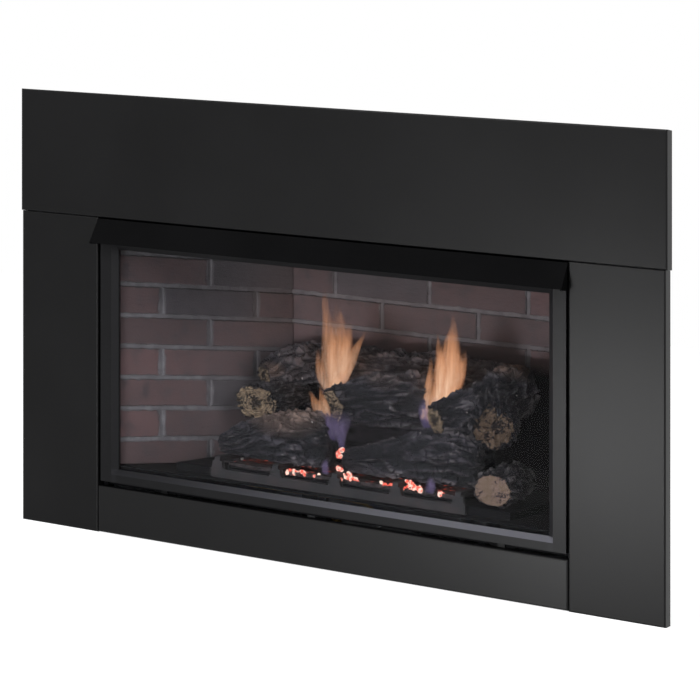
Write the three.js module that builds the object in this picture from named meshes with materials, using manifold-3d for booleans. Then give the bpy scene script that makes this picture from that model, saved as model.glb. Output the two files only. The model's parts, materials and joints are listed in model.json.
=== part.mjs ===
// A gas fireplace insert: sheet-metal surround and hood, a glazed front that swings
// out from a top rod, a brick-lined firebox with a burner and a log set, and the
// controls behind a drop-down lower panel.
// Millimetres, +Z up. While it is built, y = 0 is the surround's face, the room lies
// towards -Y and z = 0 is the hearth.
import * as THREE from "three";
import { mergeVertices } from "three/addons/utils/BufferGeometryUtils.js";
import { ConvexGeometry } from "three/addons/geometries/ConvexGeometry.js";
import Module from "manifold-3d";

const manifold = await Module();
manifold.setup();

// ---------------------------------------------------------------- driving sizes
const gap = 0.3; // between pieces that touch
const over = 5; // how far a cutter runs past what it cuts
const sheet = 2; // sheet steel of the surround, the case and the brackets

const surroundWidth = 1143;
const surroundHeight = 737;
const surroundFlange = 24; // outer edges, folded back
const surroundReturn = 20; // edges round the opening, folded back
const surroundBend = 2.5; // outer radius of the folds
const sideInset = 2.5; // side panels stand inside the top panel's ends
const seam = 0.8; // open joint round the access panel
const openingWidth = 835;
const openingBottom = 78;
const openingTop = 529;

const doorDepth = 19; // access panel's folded edges
const doorLift = 1; // its lower edge above the hearth
const doorAxis = { y: 4, z: 6.5 };
const doorPin = 1.5;
const doorPinReach = 5;
const strike = { width: 15, height: 16, inset: 6 };
const magnet = { width: 12, depth: 17, low: 16, high: 4 }; // low, high: below the opening

const bracket = { flange: 38, depth: 70, low: 30, top: 640, clear: 6 };

const hoodReach = 28; // lower lip in front of the surround
const hoodDrop = 41;
const hoodLip = 8;
const hoodClear = 2.5; // shadow gap under the top panel
const hoodRise = 22; // fixing flange behind the surround

const frameClear = 4.5; // glass frame to the opening's sides
const frameLow = 8.5; // glass frame above the lower panel
const frameTop = 499;
const frameFace = 2; // its face behind the surround's face
const frameDepth = 17;
const stileFlat = 21; // flat face of the upright members
const railFlat = 13; // flat face of the top and bottom members
const frameBevel = 9;
const frameLip = 7;

const glassThickness = 5;
const glassBorder = 7; // frame's outside to the pane's edge, less its wall
const gasketWidth = 8;
const gasketInset = 6.5; // pane's edge to the gasket
const glassClip = { length: 310, thick: 1.5, lap: 5 }; // lap: over the pane's edge

const hingeRod = { y: 14, rise: 7, radius: 3, halfLength: 395 }; // rise: above the frame
const hookRunning = 0.4;
const hookWall = 2.4;
const hookWidth = 22;
const hookPlace = 300;

const faceBehind = 3; // firebox's sealing face behind the case's front edge
const faceSill = 24; // its lower member, over the firebox floor's level
const faceHead = 29;
const faceOver = 4; // face's top above the hinge rod
const faceUnder = 6.5; // face's lower edge below the frame
const latchPlace = 300;
const latchDrop = 18; // latch axis below the face's lower edge
const latchTab = { width: 40, under: 18 };
const latchThick = 2.8;
const latchPin = 4;

const caseSide = 6.1; // its sides' outer face beyond the firebox's shell
const caseBehind = 1; // its front edge behind the surround's folds
const caseShoulder = 110; // where the sides start to close in
const caseBackSpace = 45; // liner's back to the case's back
const caseBackSide = 57; // the same at the sides of the back
const caseSpace = 38.4; // over the firebox
const header = { above: 1, lap: 1 }; // above: over the opening

const mouthInset = 22.5; // liner faces at the front, inside the opening's sides
const linerFront = 27;
const linerBack = 383;
const linerBackHalf = 248;
const linerThick = 9;
const linerTop = 505;
const shellSheet = 1.6;
const shellLow = 112.3;
const linerSpace = 15; // liner's top to the firebox's top

const courseHeight = 52.5;
const courseDatum = 104; // level of the lowest bed joint
const sideBrick = 208;
const sideJoint = 196; // an upright joint of the even side courses
const backBrick = 184;
const backJoint = 20; // an upright joint of the even back courses
const mortarWidth = 6.5;
const mortarDepth = 3;
const brickEdge = 1.2;

const flueRadius = 37;
const flueWall = 1.3;
const fluePlace = { x: 72, y: 300 };
const flueRise = 50;

const leg = { place: 150, half: 22, front: 270, back: 330 };
const baffleSize = { front: 60, back: 290, lip: 18, side: 6 };
const ventHalf = 62; // vent plate's edge to the nearest flue's axis

const platform = { half: 300, front: 60, shoulder: 235, back: 335, backHalf: 262, height: 13.8 };
const grate = { front: 50, thick: 8, bar: 10, pitch: 108, overhang: 12, rail: 15, top: 150, back: 262 };
const gratePostFoot = { half: 13, rise: 10, shoulder: 3 };
const pan = { half: 205, front: 66, back: 250, height: 5.7 };
const bed = { top: 141.4, relief: 3.2, slot: 44, slotWidth: 5, slotRows: [118, 196], columns: 16, rows: 6 };
const logRest = { half: 165, front: 268, back: 332, top: 234 };

const venturi = { x: -60, y: 180, low: 58, radius: 14, bore: 11 };
const shutter = { low: 64, height: 18, wall: 1.5, lever: 92 };
const pilot = { outside: 20, y: 150, hole: 4 }; // outside: beyond the grate's end bar
const endLog = { outside: 45 }; // its front end beyond the grate's end
const pilotFoot = { left: 18, right: 12, front: 10, back: 12, lip: 9 };
const pilotRun = { y: 118, z: 99 }; // the pilot tube's run under the firebox
const valve = { left: 0, right: 120, front: 60, back: 112, low: 14, high: 68 };
const pilotPort = { x: 60, y: 92, radius: 5, rise: 5 };
const controlLevel = 42; // height of knobs, button and switch
const knobFront = 27;
const controlKnobX = 28;
const flameKnobX = 92;
const plate = { left: -245, right: -140, front: 48, top: 72 };
const igniterX = -170;
const switchX = -220;
const gasPipe = { radius: 8, reach: 28, nut: 11, nutLength: 16, hole: 14 };
const portLength = 8;

// ------------------------------------------------------------- derived places
const halfWidth = surroundWidth / 2;
const openingHalf = openingWidth / 2;
const mouthHalf = openingHalf - mouthInset;
const frameHalf = openingHalf - frameClear;
const frameBottom = openingBottom + frameLow;
const frameBack = frameFace + frameDepth;
const caseFront = surroundReturn + caseBehind;
const faceFront = caseFront + faceBehind;
const rodZ = frameTop + hingeRod.rise;
const faceTop = rodZ + faceOver;
const faceBottom = frameBottom - faceUnder;
const latchAxisZ = faceBottom - latchDrop;
const lipBack = frameFace + frameBevel + sheet;
const glassFront = lipBack + gap;
const glassBack = glassFront + glassThickness;
const paneHalf = frameHalf - sheet - glassBorder;
const paneBottom = frameBottom + sheet + 3.5;
const paneTop = frameTop - sheet - 3.5;
const faceBack = faceFront + sheet;
const hoodTop = openingTop - hoodClear;
const floorTop = shellLow + shellSheet;
const shellTop = linerTop + linerSpace;
const caseHeight = shellTop + shellSheet + caseSpace;
const platformTop = floorTop + gap + platform.height;
const panTop = platformTop + gap + pan.height;
const splay = (mouthHalf - linerBackHalf) / (linerBack - linerFront);
const shellReach = linerThick + gap + shellSheet;
const caseHalf = mouthHalf + shellReach + caseSide;
const caseBackHalf = linerBackHalf + caseBackSide;
const caseBack = linerBack + caseBackSpace;
const grateHalf = 2 * grate.pitch + grate.overhang;
const pilotX = -2 * grate.pitch - pilot.outside;
const endLogX = grateHalf + endLog.outside;
const portY = (valve.front + valve.back) / 2; // level of the valve's gas ports in depth

// ------------------------------------------------------------------- materials
function finish(color, roughness, metalness) {
  return () => new THREE.MeshStandardMaterial({ color, roughness, metalness });
}
const blackPaint = finish(0x151516, 0.45, 0.3);
const satinBlack = finish(0x26272a, 0.4, 0.35);
const heatBlack = finish(0x1c1c1d, 0.8, 0.2);
const galvanised = finish(0x9a9c9e, 0.45, 0.8);
const steel = finish(0xa8a8a8, 0.3, 0.9);
const castAluminium = finish(0x8d9093, 0.5, 0.85);
const brass = finish(0xb08d45, 0.35, 0.9);
const ceramicGlass = finish(0x3a3d40, 0.08, 0);
const ropeGrey = finish(0x8a8880, 0.95, 0);
const brickRed = finish(0x57423f, 0.9, 0);
const bark = finish(0x2b2a28, 0.95, 0);
const ember = finish(0x4a3a34, 0.95, 0);
const blackPlastic = finish(0x17171a, 0.5, 0);
const redPlastic = finish(0x8c1d18, 0.45, 0);
const whiteCeramic = finish(0xd8d4c8, 0.4, 0);

// ------------------------------------------------------------- geometry helpers
const { sin, cos, PI } = Math;

// A closed three.js geometry as a solid that can be joined and cut.
function solid(geometry) {
  const bare = geometry.clone();
  bare.deleteAttribute("normal");
  bare.deleteAttribute("uv");
  const welded = mergeVertices(bare, 1e-4);
  const index = welded.index.array;
  const triangles = [];
  for (let i = 0; i < index.length; i += 3) {
    const [a, b, c] = [index[i], index[i + 1], index[i + 2]];
    if (a !== b && b !== c && c !== a) triangles.push(a, b, c);
  }
  const build = (triVerts) =>
    new manifold.Manifold(
      new manifold.Mesh({
        numProp: 3,
        vertProperties: welded.attributes.position.array,
        triVerts,
      }),
    );
  const made = build(new Uint32Array(triangles));
  return made.volume() > 0 ? made : build(new Uint32Array(triangles.reverse()));
}

const join = (...parts) => parts.reduce((sum, part) => sum.add(part));
const cut = (body, ...tools) => tools.reduce((rest, tool) => rest.subtract(tool), body);

function box(x0, x1, y0, y1, z0, z1) {
  const geometry = new THREE.BoxGeometry(x1 - x0, y1 - y0, z1 - z0);
  return solid(geometry.translate((x0 + x1) / 2, (y0 + y1) / 2, (z0 + z1) / 2));
}

function outline(points) {
  return new THREE.Shape(points.map(([u, v]) => new THREE.Vector2(u, v)));
}

// Shape in x, y, drawn up from z0 to z1.
function raised(shape, z0, z1) {
  const geometry = new THREE.ExtrudeGeometry(shape, { depth: z1 - z0, bevelEnabled: false });
  return solid(geometry.translate(0, 0, z0));
}

// Shape in x, z, drawn back from y0 to y1.
function drawnBack(shape, y0, y1) {
  const options = { depth: y1 - y0, bevelEnabled: false, curveSegments: 4 };
  const geometry = new THREE.ExtrudeGeometry(shape, options);
  return solid(geometry.rotateX(PI / 2).translate(0, y1, 0));
}

// Shape in y, z, drawn across from x0 to x1.
const acrossBasis = new THREE.Matrix4().makeBasis(
  new THREE.Vector3(0, 1, 0),
  new THREE.Vector3(0, 0, 1),
  new THREE.Vector3(1, 0, 0),
);
function drawnAcross(shape, x0, x1, curveSegments = 4) {
  const options = { depth: x1 - x0, bevelEnabled: false, curveSegments };
  const geometry = new THREE.ExtrudeGeometry(shape, options);
  return solid(geometry.applyMatrix4(acrossBasis).translate(x0, 0, 0));
}

// Round bar or disc along an axis; the place is a point on that axis.
function round(axis, radius, from, to, place, sides = 16) {
  const geometry = new THREE.CylinderGeometry(radius, radius, to - from, sides);
  geometry.translate(0, (from + to) / 2, 0);
  if (axis === "x") geometry.rotateZ(-PI / 2);
  if (axis === "z") geometry.rotateX(PI / 2);
  return solid(geometry.translate(...place));
}

// Profile of [radius, height] points turned about the Z axis.
function turned(points, sides = 24) {
  const profile = points.map(([r, h]) => new THREE.Vector2(r, h));
  return new THREE.LatheGeometry(profile, sides).rotateX(PI / 2);
}

// The band between a folded line and its copy shifted by the sheet's thickness.
function folded(points, thickness) {
  const shifted = points.map((point, i) => {
    const before = points[Math.max(i - 1, 0)];
    const after = points[Math.min(i + 1, points.length - 1)];
    const sides = [
      [before, point],
      [point, after],
    ].filter(([a, b]) => a !== b);
    const normals = sides.map(([a, b]) => {
      const length = Math.hypot(b[0] - a[0], b[1] - a[1]);
      return [-(b[1] - a[1]) / length, (b[0] - a[0]) / length];
    });
    const sum = normals.reduce(([u, v], [p, q]) => [u + p, v + q]);
    const scale = (thickness * normals.length) / (sum[0] * sum[0] + sum[1] * sum[1]);
    return [point[0] + sum[0] * scale, point[1] + sum[1] * scale];
  });
  return outline([...points, ...shifted.reverse()]);
}

function rectangle(x0, x1, z0, z1) {
  return outline([
    [x0, z0],
    [x1, z0],
    [x1, z1],
    [x0, z1],
  ]);
}

// Tube along a curve: a solid bar with round section.
function barAlong(points, radius, steps = 20, sides = 8) {
  const circle = [];
  for (let i = 0; i < sides; i++) {
    const turn = (2 * PI * i) / sides;
    circle.push([radius * cos(turn), radius * sin(turn)]);
  }
  const path = new THREE.CatmullRomCurve3(points.map((p) => new THREE.Vector3(...p)));
  return solid(
    new THREE.ExtrudeGeometry(outline(circle), {
      steps,
      extrudePath: path,
      bevelEnabled: false,
    }),
  );
}

// Panel folded back on four edges, with rounded folds and an open rear.
function foldedPanel(x0, x1, z0, z1, depth) {
  const inset = rectangle(
    x0 + surroundBend,
    x1 - surroundBend,
    z0 + surroundBend,
    z1 - surroundBend,
  );
  const soft = new THREE.ExtrudeGeometry(inset, {
    depth: depth - surroundBend,
    bevelThickness: surroundBend,
    bevelSize: surroundBend,
    bevelSegments: 3,
  });
  soft.rotateX(PI / 2).translate(0, depth, 0);
  return cut(
    solid(soft),
    box(x0 - over, x1 + over, depth, depth + over, z0 - over, z1 + over),
    box(x0 + sheet, x1 - sheet, sheet, depth + over, z0 + sheet, z1 - sheet),
  );
}

// Block between two rectangles in x, z at two depths.
function frustum([a0, a1, c0, c1], ya, [b0, b1, d0, d1], yb) {
  const corner = (x, y, z) => new THREE.Vector3(x, y, z);
  const near = [corner(a0, ya, c0), corner(a1, ya, c0), corner(a1, ya, c1), corner(a0, ya, c1)];
  const far = [corner(b0, yb, d0), corner(b1, yb, d0), corner(b1, yb, d1), corner(b0, yb, d1)];
  return solid(new ConvexGeometry([...near, ...far]));
}

const insert = new THREE.Group();
// The frame's origin is on the hearth, midway between the hood's lip and the case's back.
insert.position.y = -(caseBack - hoodReach) / 2;

function addPiece(name, shape, material, place = [0, 0, 0], parent = insert) {
  const mesh = shape.getMesh();
  const geometry = new THREE.BufferGeometry();
  geometry.setAttribute("position", new THREE.BufferAttribute(mesh.vertProperties, 3));
  geometry.setIndex(new THREE.BufferAttribute(mesh.triVerts, 1));
  const flat = geometry.toNonIndexed();
  flat.computeVertexNormals();
  const piece = new THREE.Mesh(flat, material());
  piece.name = name;
  piece.position.set(...place);
  parent.add(piece);
  return piece;
}

// ------------------------------------------------------------------- surround
function surroundTopPanel() {
  const panel = foldedPanel(-halfWidth, halfWidth, openingTop, surroundHeight, surroundFlange);
  const reach = halfWidth - sheet;
  const above = openingTop + sheet + over;
  return cut(
    panel,
    box(-reach, reach, surroundReturn, surroundFlange + over, openingTop - over, above),
  );
}

function surroundSidePanel(side) {
  const inner = openingHalf;
  const outer = halfWidth - sideInset;
  const top = openingTop - gap;
  const [x0, x1] = side < 0 ? [-outer, -inner] : [inner, outer];
  const innerFold = side < 0 ? [-inner - sheet - 1, -inner + over] : [inner - over, inner + sheet + 1];
  return cut(
    foldedPanel(x0, x1, 0, top, surroundFlange),
    box(...innerFold, surroundReturn, surroundFlange + over, sheet, top + over),
    box(x0 + sheet, x1 - sheet, surroundReturn, surroundFlange + over, top - sheet - 1, top + over),
    round("x", doorPin + gap, innerFold[0], innerFold[1], [0, doorAxis.y, doorAxis.z], 12),
  );
}

function accessPanel() {
  const half = openingHalf - seam;
  const parts = [foldedPanel(-half, half, doorLift, openingBottom, doorDepth)];
  for (const side of [-1, 1]) {
    const [from, to] = side < 0 ? [-half - doorPinReach, -half + 1] : [half - 1, half + doorPinReach];
    parts.push(round("x", doorPin, from, to, [0, doorAxis.y, doorAxis.z], 12));
    const edge = side * (half - strike.inset);
    const [x0, x1] = side < 0 ? [edge, edge + strike.width] : [edge - strike.width, edge];
    const top = openingBottom - sheet + 0.5;
    parts.push(box(x0, x1, doorDepth - sheet, doorDepth, top - strike.height, top));
  }
  return join(...parts);
}

function hood() {
  const half = openingHalf - 1;
  const lip = hoodTop - hoodDrop;
  const seat = faceBack - gap;
  const bent = folded(
    [
      [-hoodReach + hoodLip, lip],
      [-hoodReach, lip],
      [0, hoodTop],
      [seat - sheet, hoodTop],
      [seat - sheet, hoodTop + hoodRise],
    ],
    -sheet,
  );
  const cheek = outline([
    [-hoodReach + 1, lip - sheet + 0.5],
    [-2, lip - sheet + 0.5],
    [-2, hoodTop - 3.5],
  ]);
  const inside = caseHalf - sheet - gap;
  const clear = surroundReturn - 1;
  return cut(
    join(
      drawnAcross(bent, -half, half),
      drawnAcross(cheek, -half, -half + sheet),
      drawnAcross(cheek, half - sheet, half),
    ),
    box(-half - over, -inside, clear, seat + over, lip, hoodTop + hoodRise + over),
    box(inside, half + over, clear, seat + over, lip, hoodTop + hoodRise + over),
  );
}

// Angle that carries the surround on the case's side.
function surroundBracket(side) {
  const inner = side * (caseHalf + gap);
  const seat = surroundReturn + gap;
  const bent = folded(
    [
      [inner, bracket.depth],
      [inner, seat],
      [side * (caseHalf + bracket.flange), seat],
    ],
    side * sheet,
  );
  const upright = raised(bent, bracket.low, bracket.top);
  const [x0, x1] = [inner - over, inner + side * (sheet + 1)].sort((a, b) => a - b);
  const above = caseHeight - bracket.clear;
  const cutFront = seat + sheet + 1.7;
  return cut(upright, box(x0, x1, cutFront, bracket.depth + over, above, bracket.top + over));
}

addPiece("surround_top_panel", surroundTopPanel(), blackPaint);
addPiece("surround_left_panel", surroundSidePanel(-1), blackPaint);
addPiece("surround_right_panel", surroundSidePanel(1), blackPaint);
addPiece("hood", hood(), blackPaint);
addPiece("surround_bracket_left", surroundBracket(-1), galvanised);
addPiece("surround_bracket_right", surroundBracket(1), galvanised);

const accessDoor = new THREE.Group();
insert.add(accessDoor);
addPiece("access_panel", accessPanel(), blackPaint, [0, 0, 0], accessDoor);

for (const [name, side] of [
  ["left", -1],
  ["right", 1],
]) {
  const seat = side * (caseHalf - sheet - gap);
  const [x0, x1] = [seat, seat - side * magnet.width].sort((a, b) => a - b);
  const front = doorDepth + gap;
  const [z0, z1] = [openingBottom - magnet.low, openingBottom - magnet.high];
  addPiece("door_magnet_" + name, box(x0, x1, front, front + magnet.depth, z0, z1), blackPlastic);
}

// ---------------------------------------------------------------- glazed front
// Four mitred members: a flat face, a bevel running in to the glass and a rear pocket.
function glassFrame() {
  const rect = (stile, rail) => [
    -frameHalf + stile,
    frameHalf - stile,
    frameBottom + rail,
    frameTop - rail,
  ];
  const slab = ([x0, x1, z0, z1], y0, y1) => box(x0, x1, y0, y1, z0, z1);
  const bevelBack = frameFace + frameBevel;
  const wall = sheet * 0.9;
  const wallRing = cut(
    slab(rect(0, 0), frameFace, frameBack),
    slab(rect(sheet, sheet), frameFace - over, frameBack + over),
  );
  const faceRing = cut(
    slab(rect(0.5, 0.5), frameFace, frameFace + sheet),
    slab(rect(stileFlat, railFlat), frameFace - over, frameFace + sheet + over),
  );
  const slope = (shift, y0, y1) =>
    frustum(
      rect(stileFlat - shift + (y0 - frameFace), railFlat - shift + (y0 - frameFace)),
      y0,
      rect(stileFlat - shift + (y1 - frameFace), railFlat - shift + (y1 - frameFace)),
      y1,
    );
  const bevelRing = cut(
    slope(wall * Math.SQRT2, frameFace, bevelBack),
    slope(0, frameFace - 1, bevelBack + 1),
  );
  const lipRing = cut(
    slab(rect(stileFlat + frameBevel - frameLip, railFlat + frameBevel - frameLip), bevelBack - 1, lipBack),
    slab(rect(stileFlat + frameBevel, railFlat + frameBevel), frameFace, lipBack + over),
    slope(0, frameFace - 1, bevelBack + 1),
  );
  return join(wallRing, faceRing, bevelRing, lipRing, ...[-1, 1].map(hingeHook));
}

// Hook that hangs the frame on the hinge rod and lets it swing.
function hingeHook(side) {
  const inner = hingeRod.radius + hookRunning;
  const outer = inner + hookWall;
  const shape = new THREE.Shape();
  const leg = frameTop - 1;
  shape.absarc(hingeRod.y, rodZ, outer, -PI / 9, PI + PI / 9, false);
  shape.lineTo(hingeRod.y - outer + 0.3, leg);
  shape.lineTo(hingeRod.y - inner + 0.3, leg);
  shape.absarc(hingeRod.y, rodZ, inner, PI + PI / 9, -PI / 9, true);
  const x = side * hookPlace;
  return drawnAcross(shape, x - hookWidth / 2, x + hookWidth / 2, 10);
}

function ringBetween([x0, x1, z0, z1], [a0, a1, c0, c1], y0, y1) {
  const shape = rectangle(x0, x1, z0, z1);
  shape.holes.push(rectangle(a0, a1, c0, c1));
  return drawnBack(shape, y0, y1);
}

const glazedFront = new THREE.Group();
insert.add(glazedFront);
addPiece("glass_frame", glassFrame(), satinBlack, [0, 0, 0], glazedFront);
addPiece(
  "glass_pane",
  box(-paneHalf, paneHalf, glassFront, glassBack, paneBottom, paneTop),
  ceramicGlass,
  [0, 0, 0],
  glazedFront,
);
const gasketOuter = [
  -paneHalf + gasketInset,
  paneHalf - gasketInset,
  paneBottom + 3,
  paneTop - 3,
];
const gasketInner = [
  gasketOuter[0] + gasketWidth,
  gasketOuter[1] - gasketWidth,
  gasketOuter[2] + gasketWidth,
  gasketOuter[3] - gasketWidth,
];
addPiece(
  "glass_gasket",
  ringBetween(gasketOuter, gasketInner, glassBack + gap, faceFront - gap),
  ropeGrey,
  [0, 0, 0],
  glazedFront,
);
for (const [name, side] of [
  ["left", -1],
  ["right", 1],
]) {
  const ends = [side * (paneHalf - glassClip.lap), side * (frameHalf - sheet - gap)];
  const [x0, x1] = ends.sort((a, b) => a - b);
  const front = glassBack + gap;
  const low = (paneBottom + paneTop - glassClip.length) / 2;
  const clip = box(x0, x1, front, front + glassClip.thick, low, low + glassClip.length);
  addPiece("glass_clip_" + name, clip, galvanised, [0, 0, 0], glazedFront);
}

// Rod and its two end plates, fixed to the firebox face.
function hingeRodAssembly() {
  const { y, radius, halfLength } = hingeRod;
  const ear = outline([
    [y - 5, rodZ + 4],
    [y - 5, rodZ - 5],
    [faceFront - gap, rodZ - 5],
    [faceFront - gap, rodZ + 4],
  ]);
  const end = halfLength + 3;
  return join(
    round("x", radius, -halfLength - 2, halfLength + 2, [0, y, rodZ], 16),
    drawnAcross(ear, -end, -end + 3),
    drawnAcross(ear, end - 3, end),
  );
}
addPiece("glass_hinge_rod", hingeRodAssembly(), steel);

// ---------------------------------------------------------------- firebox shell
// Half-width of the liner's face at depth y, moved out by reach.
function linerX(y, reach = 0) {
  return mouthHalf - (y - linerFront) * splay + reach * Math.hypot(1, splay);
}

// Plan of the firebox, moved out by reach, from front to its back.
function fireboxPlan(reach, front) {
  const back = linerBack + reach;
  return outline([
    [-linerX(front, reach), front],
    [linerX(front, reach), front],
    [linerX(back, reach), back],
    [-linerX(back, reach), back],
  ]);
}

function fireboxFace() {
  const half = caseHalf - sheet - gap;
  const plateShape = rectangle(-half, half, faceBottom, faceTop);
  const mouth = mouthHalf - 6;
  plateShape.holes.push(rectangle(-mouth, mouth, faceBottom + faceSill, faceTop - faceHead));
  const parts = [drawnBack(plateShape, faceFront, faceBack)];
  for (const side of [-1, 1]) {
    const x = side * latchPlace;
    const tab = rectangle(
      x - latchTab.width / 2,
      x + latchTab.width / 2,
      latchAxisZ - latchTab.under,
      faceBottom + 1,
    );
    const pinHole = round("y", latchPin + gap, faceFront - over, faceBack + over, [x, 0, latchAxisZ]);
    parts.push(cut(drawnBack(tab, faceFront, faceBack), pinHole));
  }
  return join(...parts);
}

function fireboxShell() {
  const front = faceBack + gap;
  const holes = [
    round("z", venturi.radius + 1, shellLow - over, floorTop + over, [venturi.x, venturi.y, 0], 20),
    round("z", pilot.hole, shellLow - over, floorTop + over, [pilotX, pilot.y, 0], 12),
  ];
  for (const side of [-1, 1]) {
    const place = [side * fluePlace.x, fluePlace.y, 0];
    holes.push(round("z", flueRadius - 0.5, shellTop - over, shellTop + over, place, 32));
  }
  return cut(
    raised(fireboxPlan(shellReach, front), shellLow, shellTop + shellSheet),
    raised(fireboxPlan(linerThick + gap, front - over), floorTop, shellTop),
    ...holes,
  );
}

addPiece("firebox_face", fireboxFace(), heatBlack);
addPiece("firebox_shell", fireboxShell(), heatBlack);

// -------------------------------------------------------------- brick liners
// One course after another of bevelled bricks, drawn on x (along) and z, face at y = 0.
function brickCourses(from, to, brick, joint) {
  const base = floorTop + gap;
  const bricks = [];
  const courses = Math.ceil((linerTop - courseDatum) / courseHeight);
  for (let course = 0; course < courses; course++) {
    const low = Math.max(courseDatum + course * courseHeight + mortarWidth / 2, base);
    const high = Math.min(courseDatum + (course + 1) * courseHeight - mortarWidth / 2, linerTop);
    const shift = joint + (course % 2 ? brick / 2 : 0);
    const first = Math.floor((from - shift) / brick);
    const last = Math.ceil((to - shift) / brick);
    for (let k = first; k < last; k++) {
      const x0 = Math.max(shift + k * brick + mortarWidth / 2, from);
      const x1 = Math.min(shift + (k + 1) * brick - mortarWidth / 2, to);
      if (x1 - x0 < 8) continue;
      const inset = rectangle(x0 + brickEdge, x1 - brickEdge, low + brickEdge, high - brickEdge);
      const geometry = new THREE.ExtrudeGeometry(inset, {
        depth: mortarDepth + 1 - 2 * brickEdge,
        bevelThickness: brickEdge,
        bevelSize: brickEdge,
        bevelSegments: 1,
      });
      bricks.push(geometry.rotateX(PI / 2).translate(0, mortarDepth + 1 - brickEdge, 0));
    }
  }
  return bricks;
}

function backLiner() {
  const half = linerX(linerBack + linerThick + gap, linerThick) - gap;
  const slab = box(-half, half, linerBack + mortarDepth, linerBack + linerThick, floorTop + gap, linerTop);
  const wide = linerBackHalf;
  const bricks = brickCourses(-wide, wide, backBrick, backJoint);
  return join(slab, ...bricks.map((brick) => solid(brick.translate(0, linerBack, 0))));
}

function sideLiner(side) {
  const front = faceBack + gap;
  const back = linerBack - gap;
  const band = (near, far) => {
    const corners = [
      [linerX(front, near), front],
      [linerX(back, near), back],
      [linerX(back, far), back],
      [linerX(front, far), front],
    ];
    return outline(corners.map(([x, y]) => [side * x, y]));
  };
  const length = Math.hypot(mouthHalf - linerBackHalf, linerBack - linerFront);
  const slope = Math.atan(splay);
  const turn = side < 0 ? PI / 2 - slope : -(PI / 2 - slope);
  const bricks = brickCourses(0, length, sideBrick, sideJoint).map((brick) => {
    if (side > 0) brick.scale(-1, 1, 1);
    return solid(brick.rotateZ(turn).translate(side * mouthHalf, linerFront, 0));
  });
  const low = floorTop + gap;
  const envelope = raised(band(-1, linerThick), low, linerTop);
  return join(raised(band(mortarDepth, linerThick), low, linerTop), join(...bricks).intersect(envelope));
}

// Plate over the liners that turns the hot gas forward under the firebox top.
function baffle() {
  const { front, back, lip, side } = baffleSize;
  const reach = linerThick - gap;
  const plan = outline([
    [-linerX(front, reach), front],
    [linerX(front, reach), front],
    [linerX(back, reach), back],
    [-linerX(back, reach), back],
  ]);
  const low = linerTop + gap;
  const lipHalf = linerX(front, 0) - side;
  return join(
    raised(plan, low, low + sheet),
    box(-lipHalf, lipHalf, front, front + sheet, low - lip, low + 1),
  );
}

addPiece("brick_liner_back", backLiner(), brickRed);
addPiece("brick_liner_left", sideLiner(-1), brickRed);
addPiece("brick_liner_right", sideLiner(1), brickRed);
addPiece("firebox_baffle", baffle(), heatBlack);

// ---------------------------------------------------------------- outer case
function casePlan(inset, front) {
  const slope = (caseHalf - caseBackHalf) / (caseBack - caseShoulder);
  const side = inset * Math.hypot(1, slope);
  const back = caseBack - inset;
  const x = (y) => caseHalf - (y - caseShoulder) * slope - side;
  const shoulder = caseShoulder + (inset - side) / slope;
  return outline([
    [-caseHalf + inset, front],
    [caseHalf - inset, front],
    [caseHalf - inset, shoulder],
    [x(back), back],
    [-x(back), back],
    [-caseHalf + inset, shoulder],
  ]);
}

function outerCase() {
  const walls = cut(
    raised(casePlan(0, caseFront), 0, caseHeight),
    raised(casePlan(sheet, caseFront - over), -over, caseHeight + over),
  );
  const floorFront = faceBack + gap;
  const half = caseHalf - 1;
  const flues = [-1, 1].map((side) =>
    round(
      "z",
      flueRadius + flueWall + 1,
      caseHeight - over,
      caseHeight + over,
      [side * fluePlace.x, fluePlace.y, 0],
      32,
    ),
  );
  const wall = [caseHalf - sheet - over, caseHalf + over];
  const pipeHole = round("x", gasPipe.hole, ...wall, [0, portY, controlLevel], 20);
  return cut(
    join(
      walls,
      raised(casePlan(1, floorFront), 0, sheet),
      raised(casePlan(1, floorFront), caseHeight - sheet, caseHeight),
      box(-half, half, floorFront, floorFront + sheet, openingTop + header.above, caseHeight - header.lap),
    ),
    ...flues,
    pipeHole,
  );
}
addPiece("outer_case", outerCase(), galvanised);

for (const [name, x] of [
  ["left", -leg.place],
  ["right", leg.place],
]) {
  const channel = folded(
    [
      [x - leg.half, leg.front],
      [x - leg.half, leg.back],
      [x + leg.half, leg.back],
      [x + leg.half, leg.front],
    ],
    sheet,
  );
  addPiece("firebox_leg_" + name, raised(channel, sheet + gap, shellLow - gap), galvanised);
}

// -------------------------------------------------------------------- venting
function ventPlate() {
  const { x, y } = fluePlace;
  const low = caseHeight + gap;
  const holes = [-1, 1].map((side) =>
    round("z", flueRadius + flueWall + gap, low - over, low + over, [side * x, y, 0], 32),
  );
  const reach = x + ventHalf;
  return cut(box(-reach, reach, y - ventHalf, y + ventHalf, low, low + sheet), ...holes);
}
addPiece("vent_plate", ventPlate(), galvanised);

// Flue collar: from the firebox top up through the vent plate, with a seating flange and a bead.
function flueCollar() {
  const low = shellTop + shellSheet + gap;
  const seat = caseHeight + sheet + 2 * gap;
  const top = caseHeight + flueRise;
  const outer = flueRadius + flueWall;
  return solid(
    turned(
      [
        [flueRadius, low],
        [outer, low],
        [outer, seat],
        [outer + 12, seat],
        [outer + 12, seat + 1.5],
        [outer, seat + 1.5],
        [outer, top - 14],
        [outer + 2, top - 12],
        [outer + 2, top - 10],
        [outer, top - 8],
        [outer, top],
        [flueRadius, top],
        [flueRadius, low],
      ],
      24,
    ),
  );
}
addPiece("exhaust_collar", flueCollar(), steel, [-fluePlace.x, fluePlace.y, 0]);
addPiece("air_intake_collar", flueCollar(), steel, [fluePlace.x, fluePlace.y, 0]);

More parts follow.
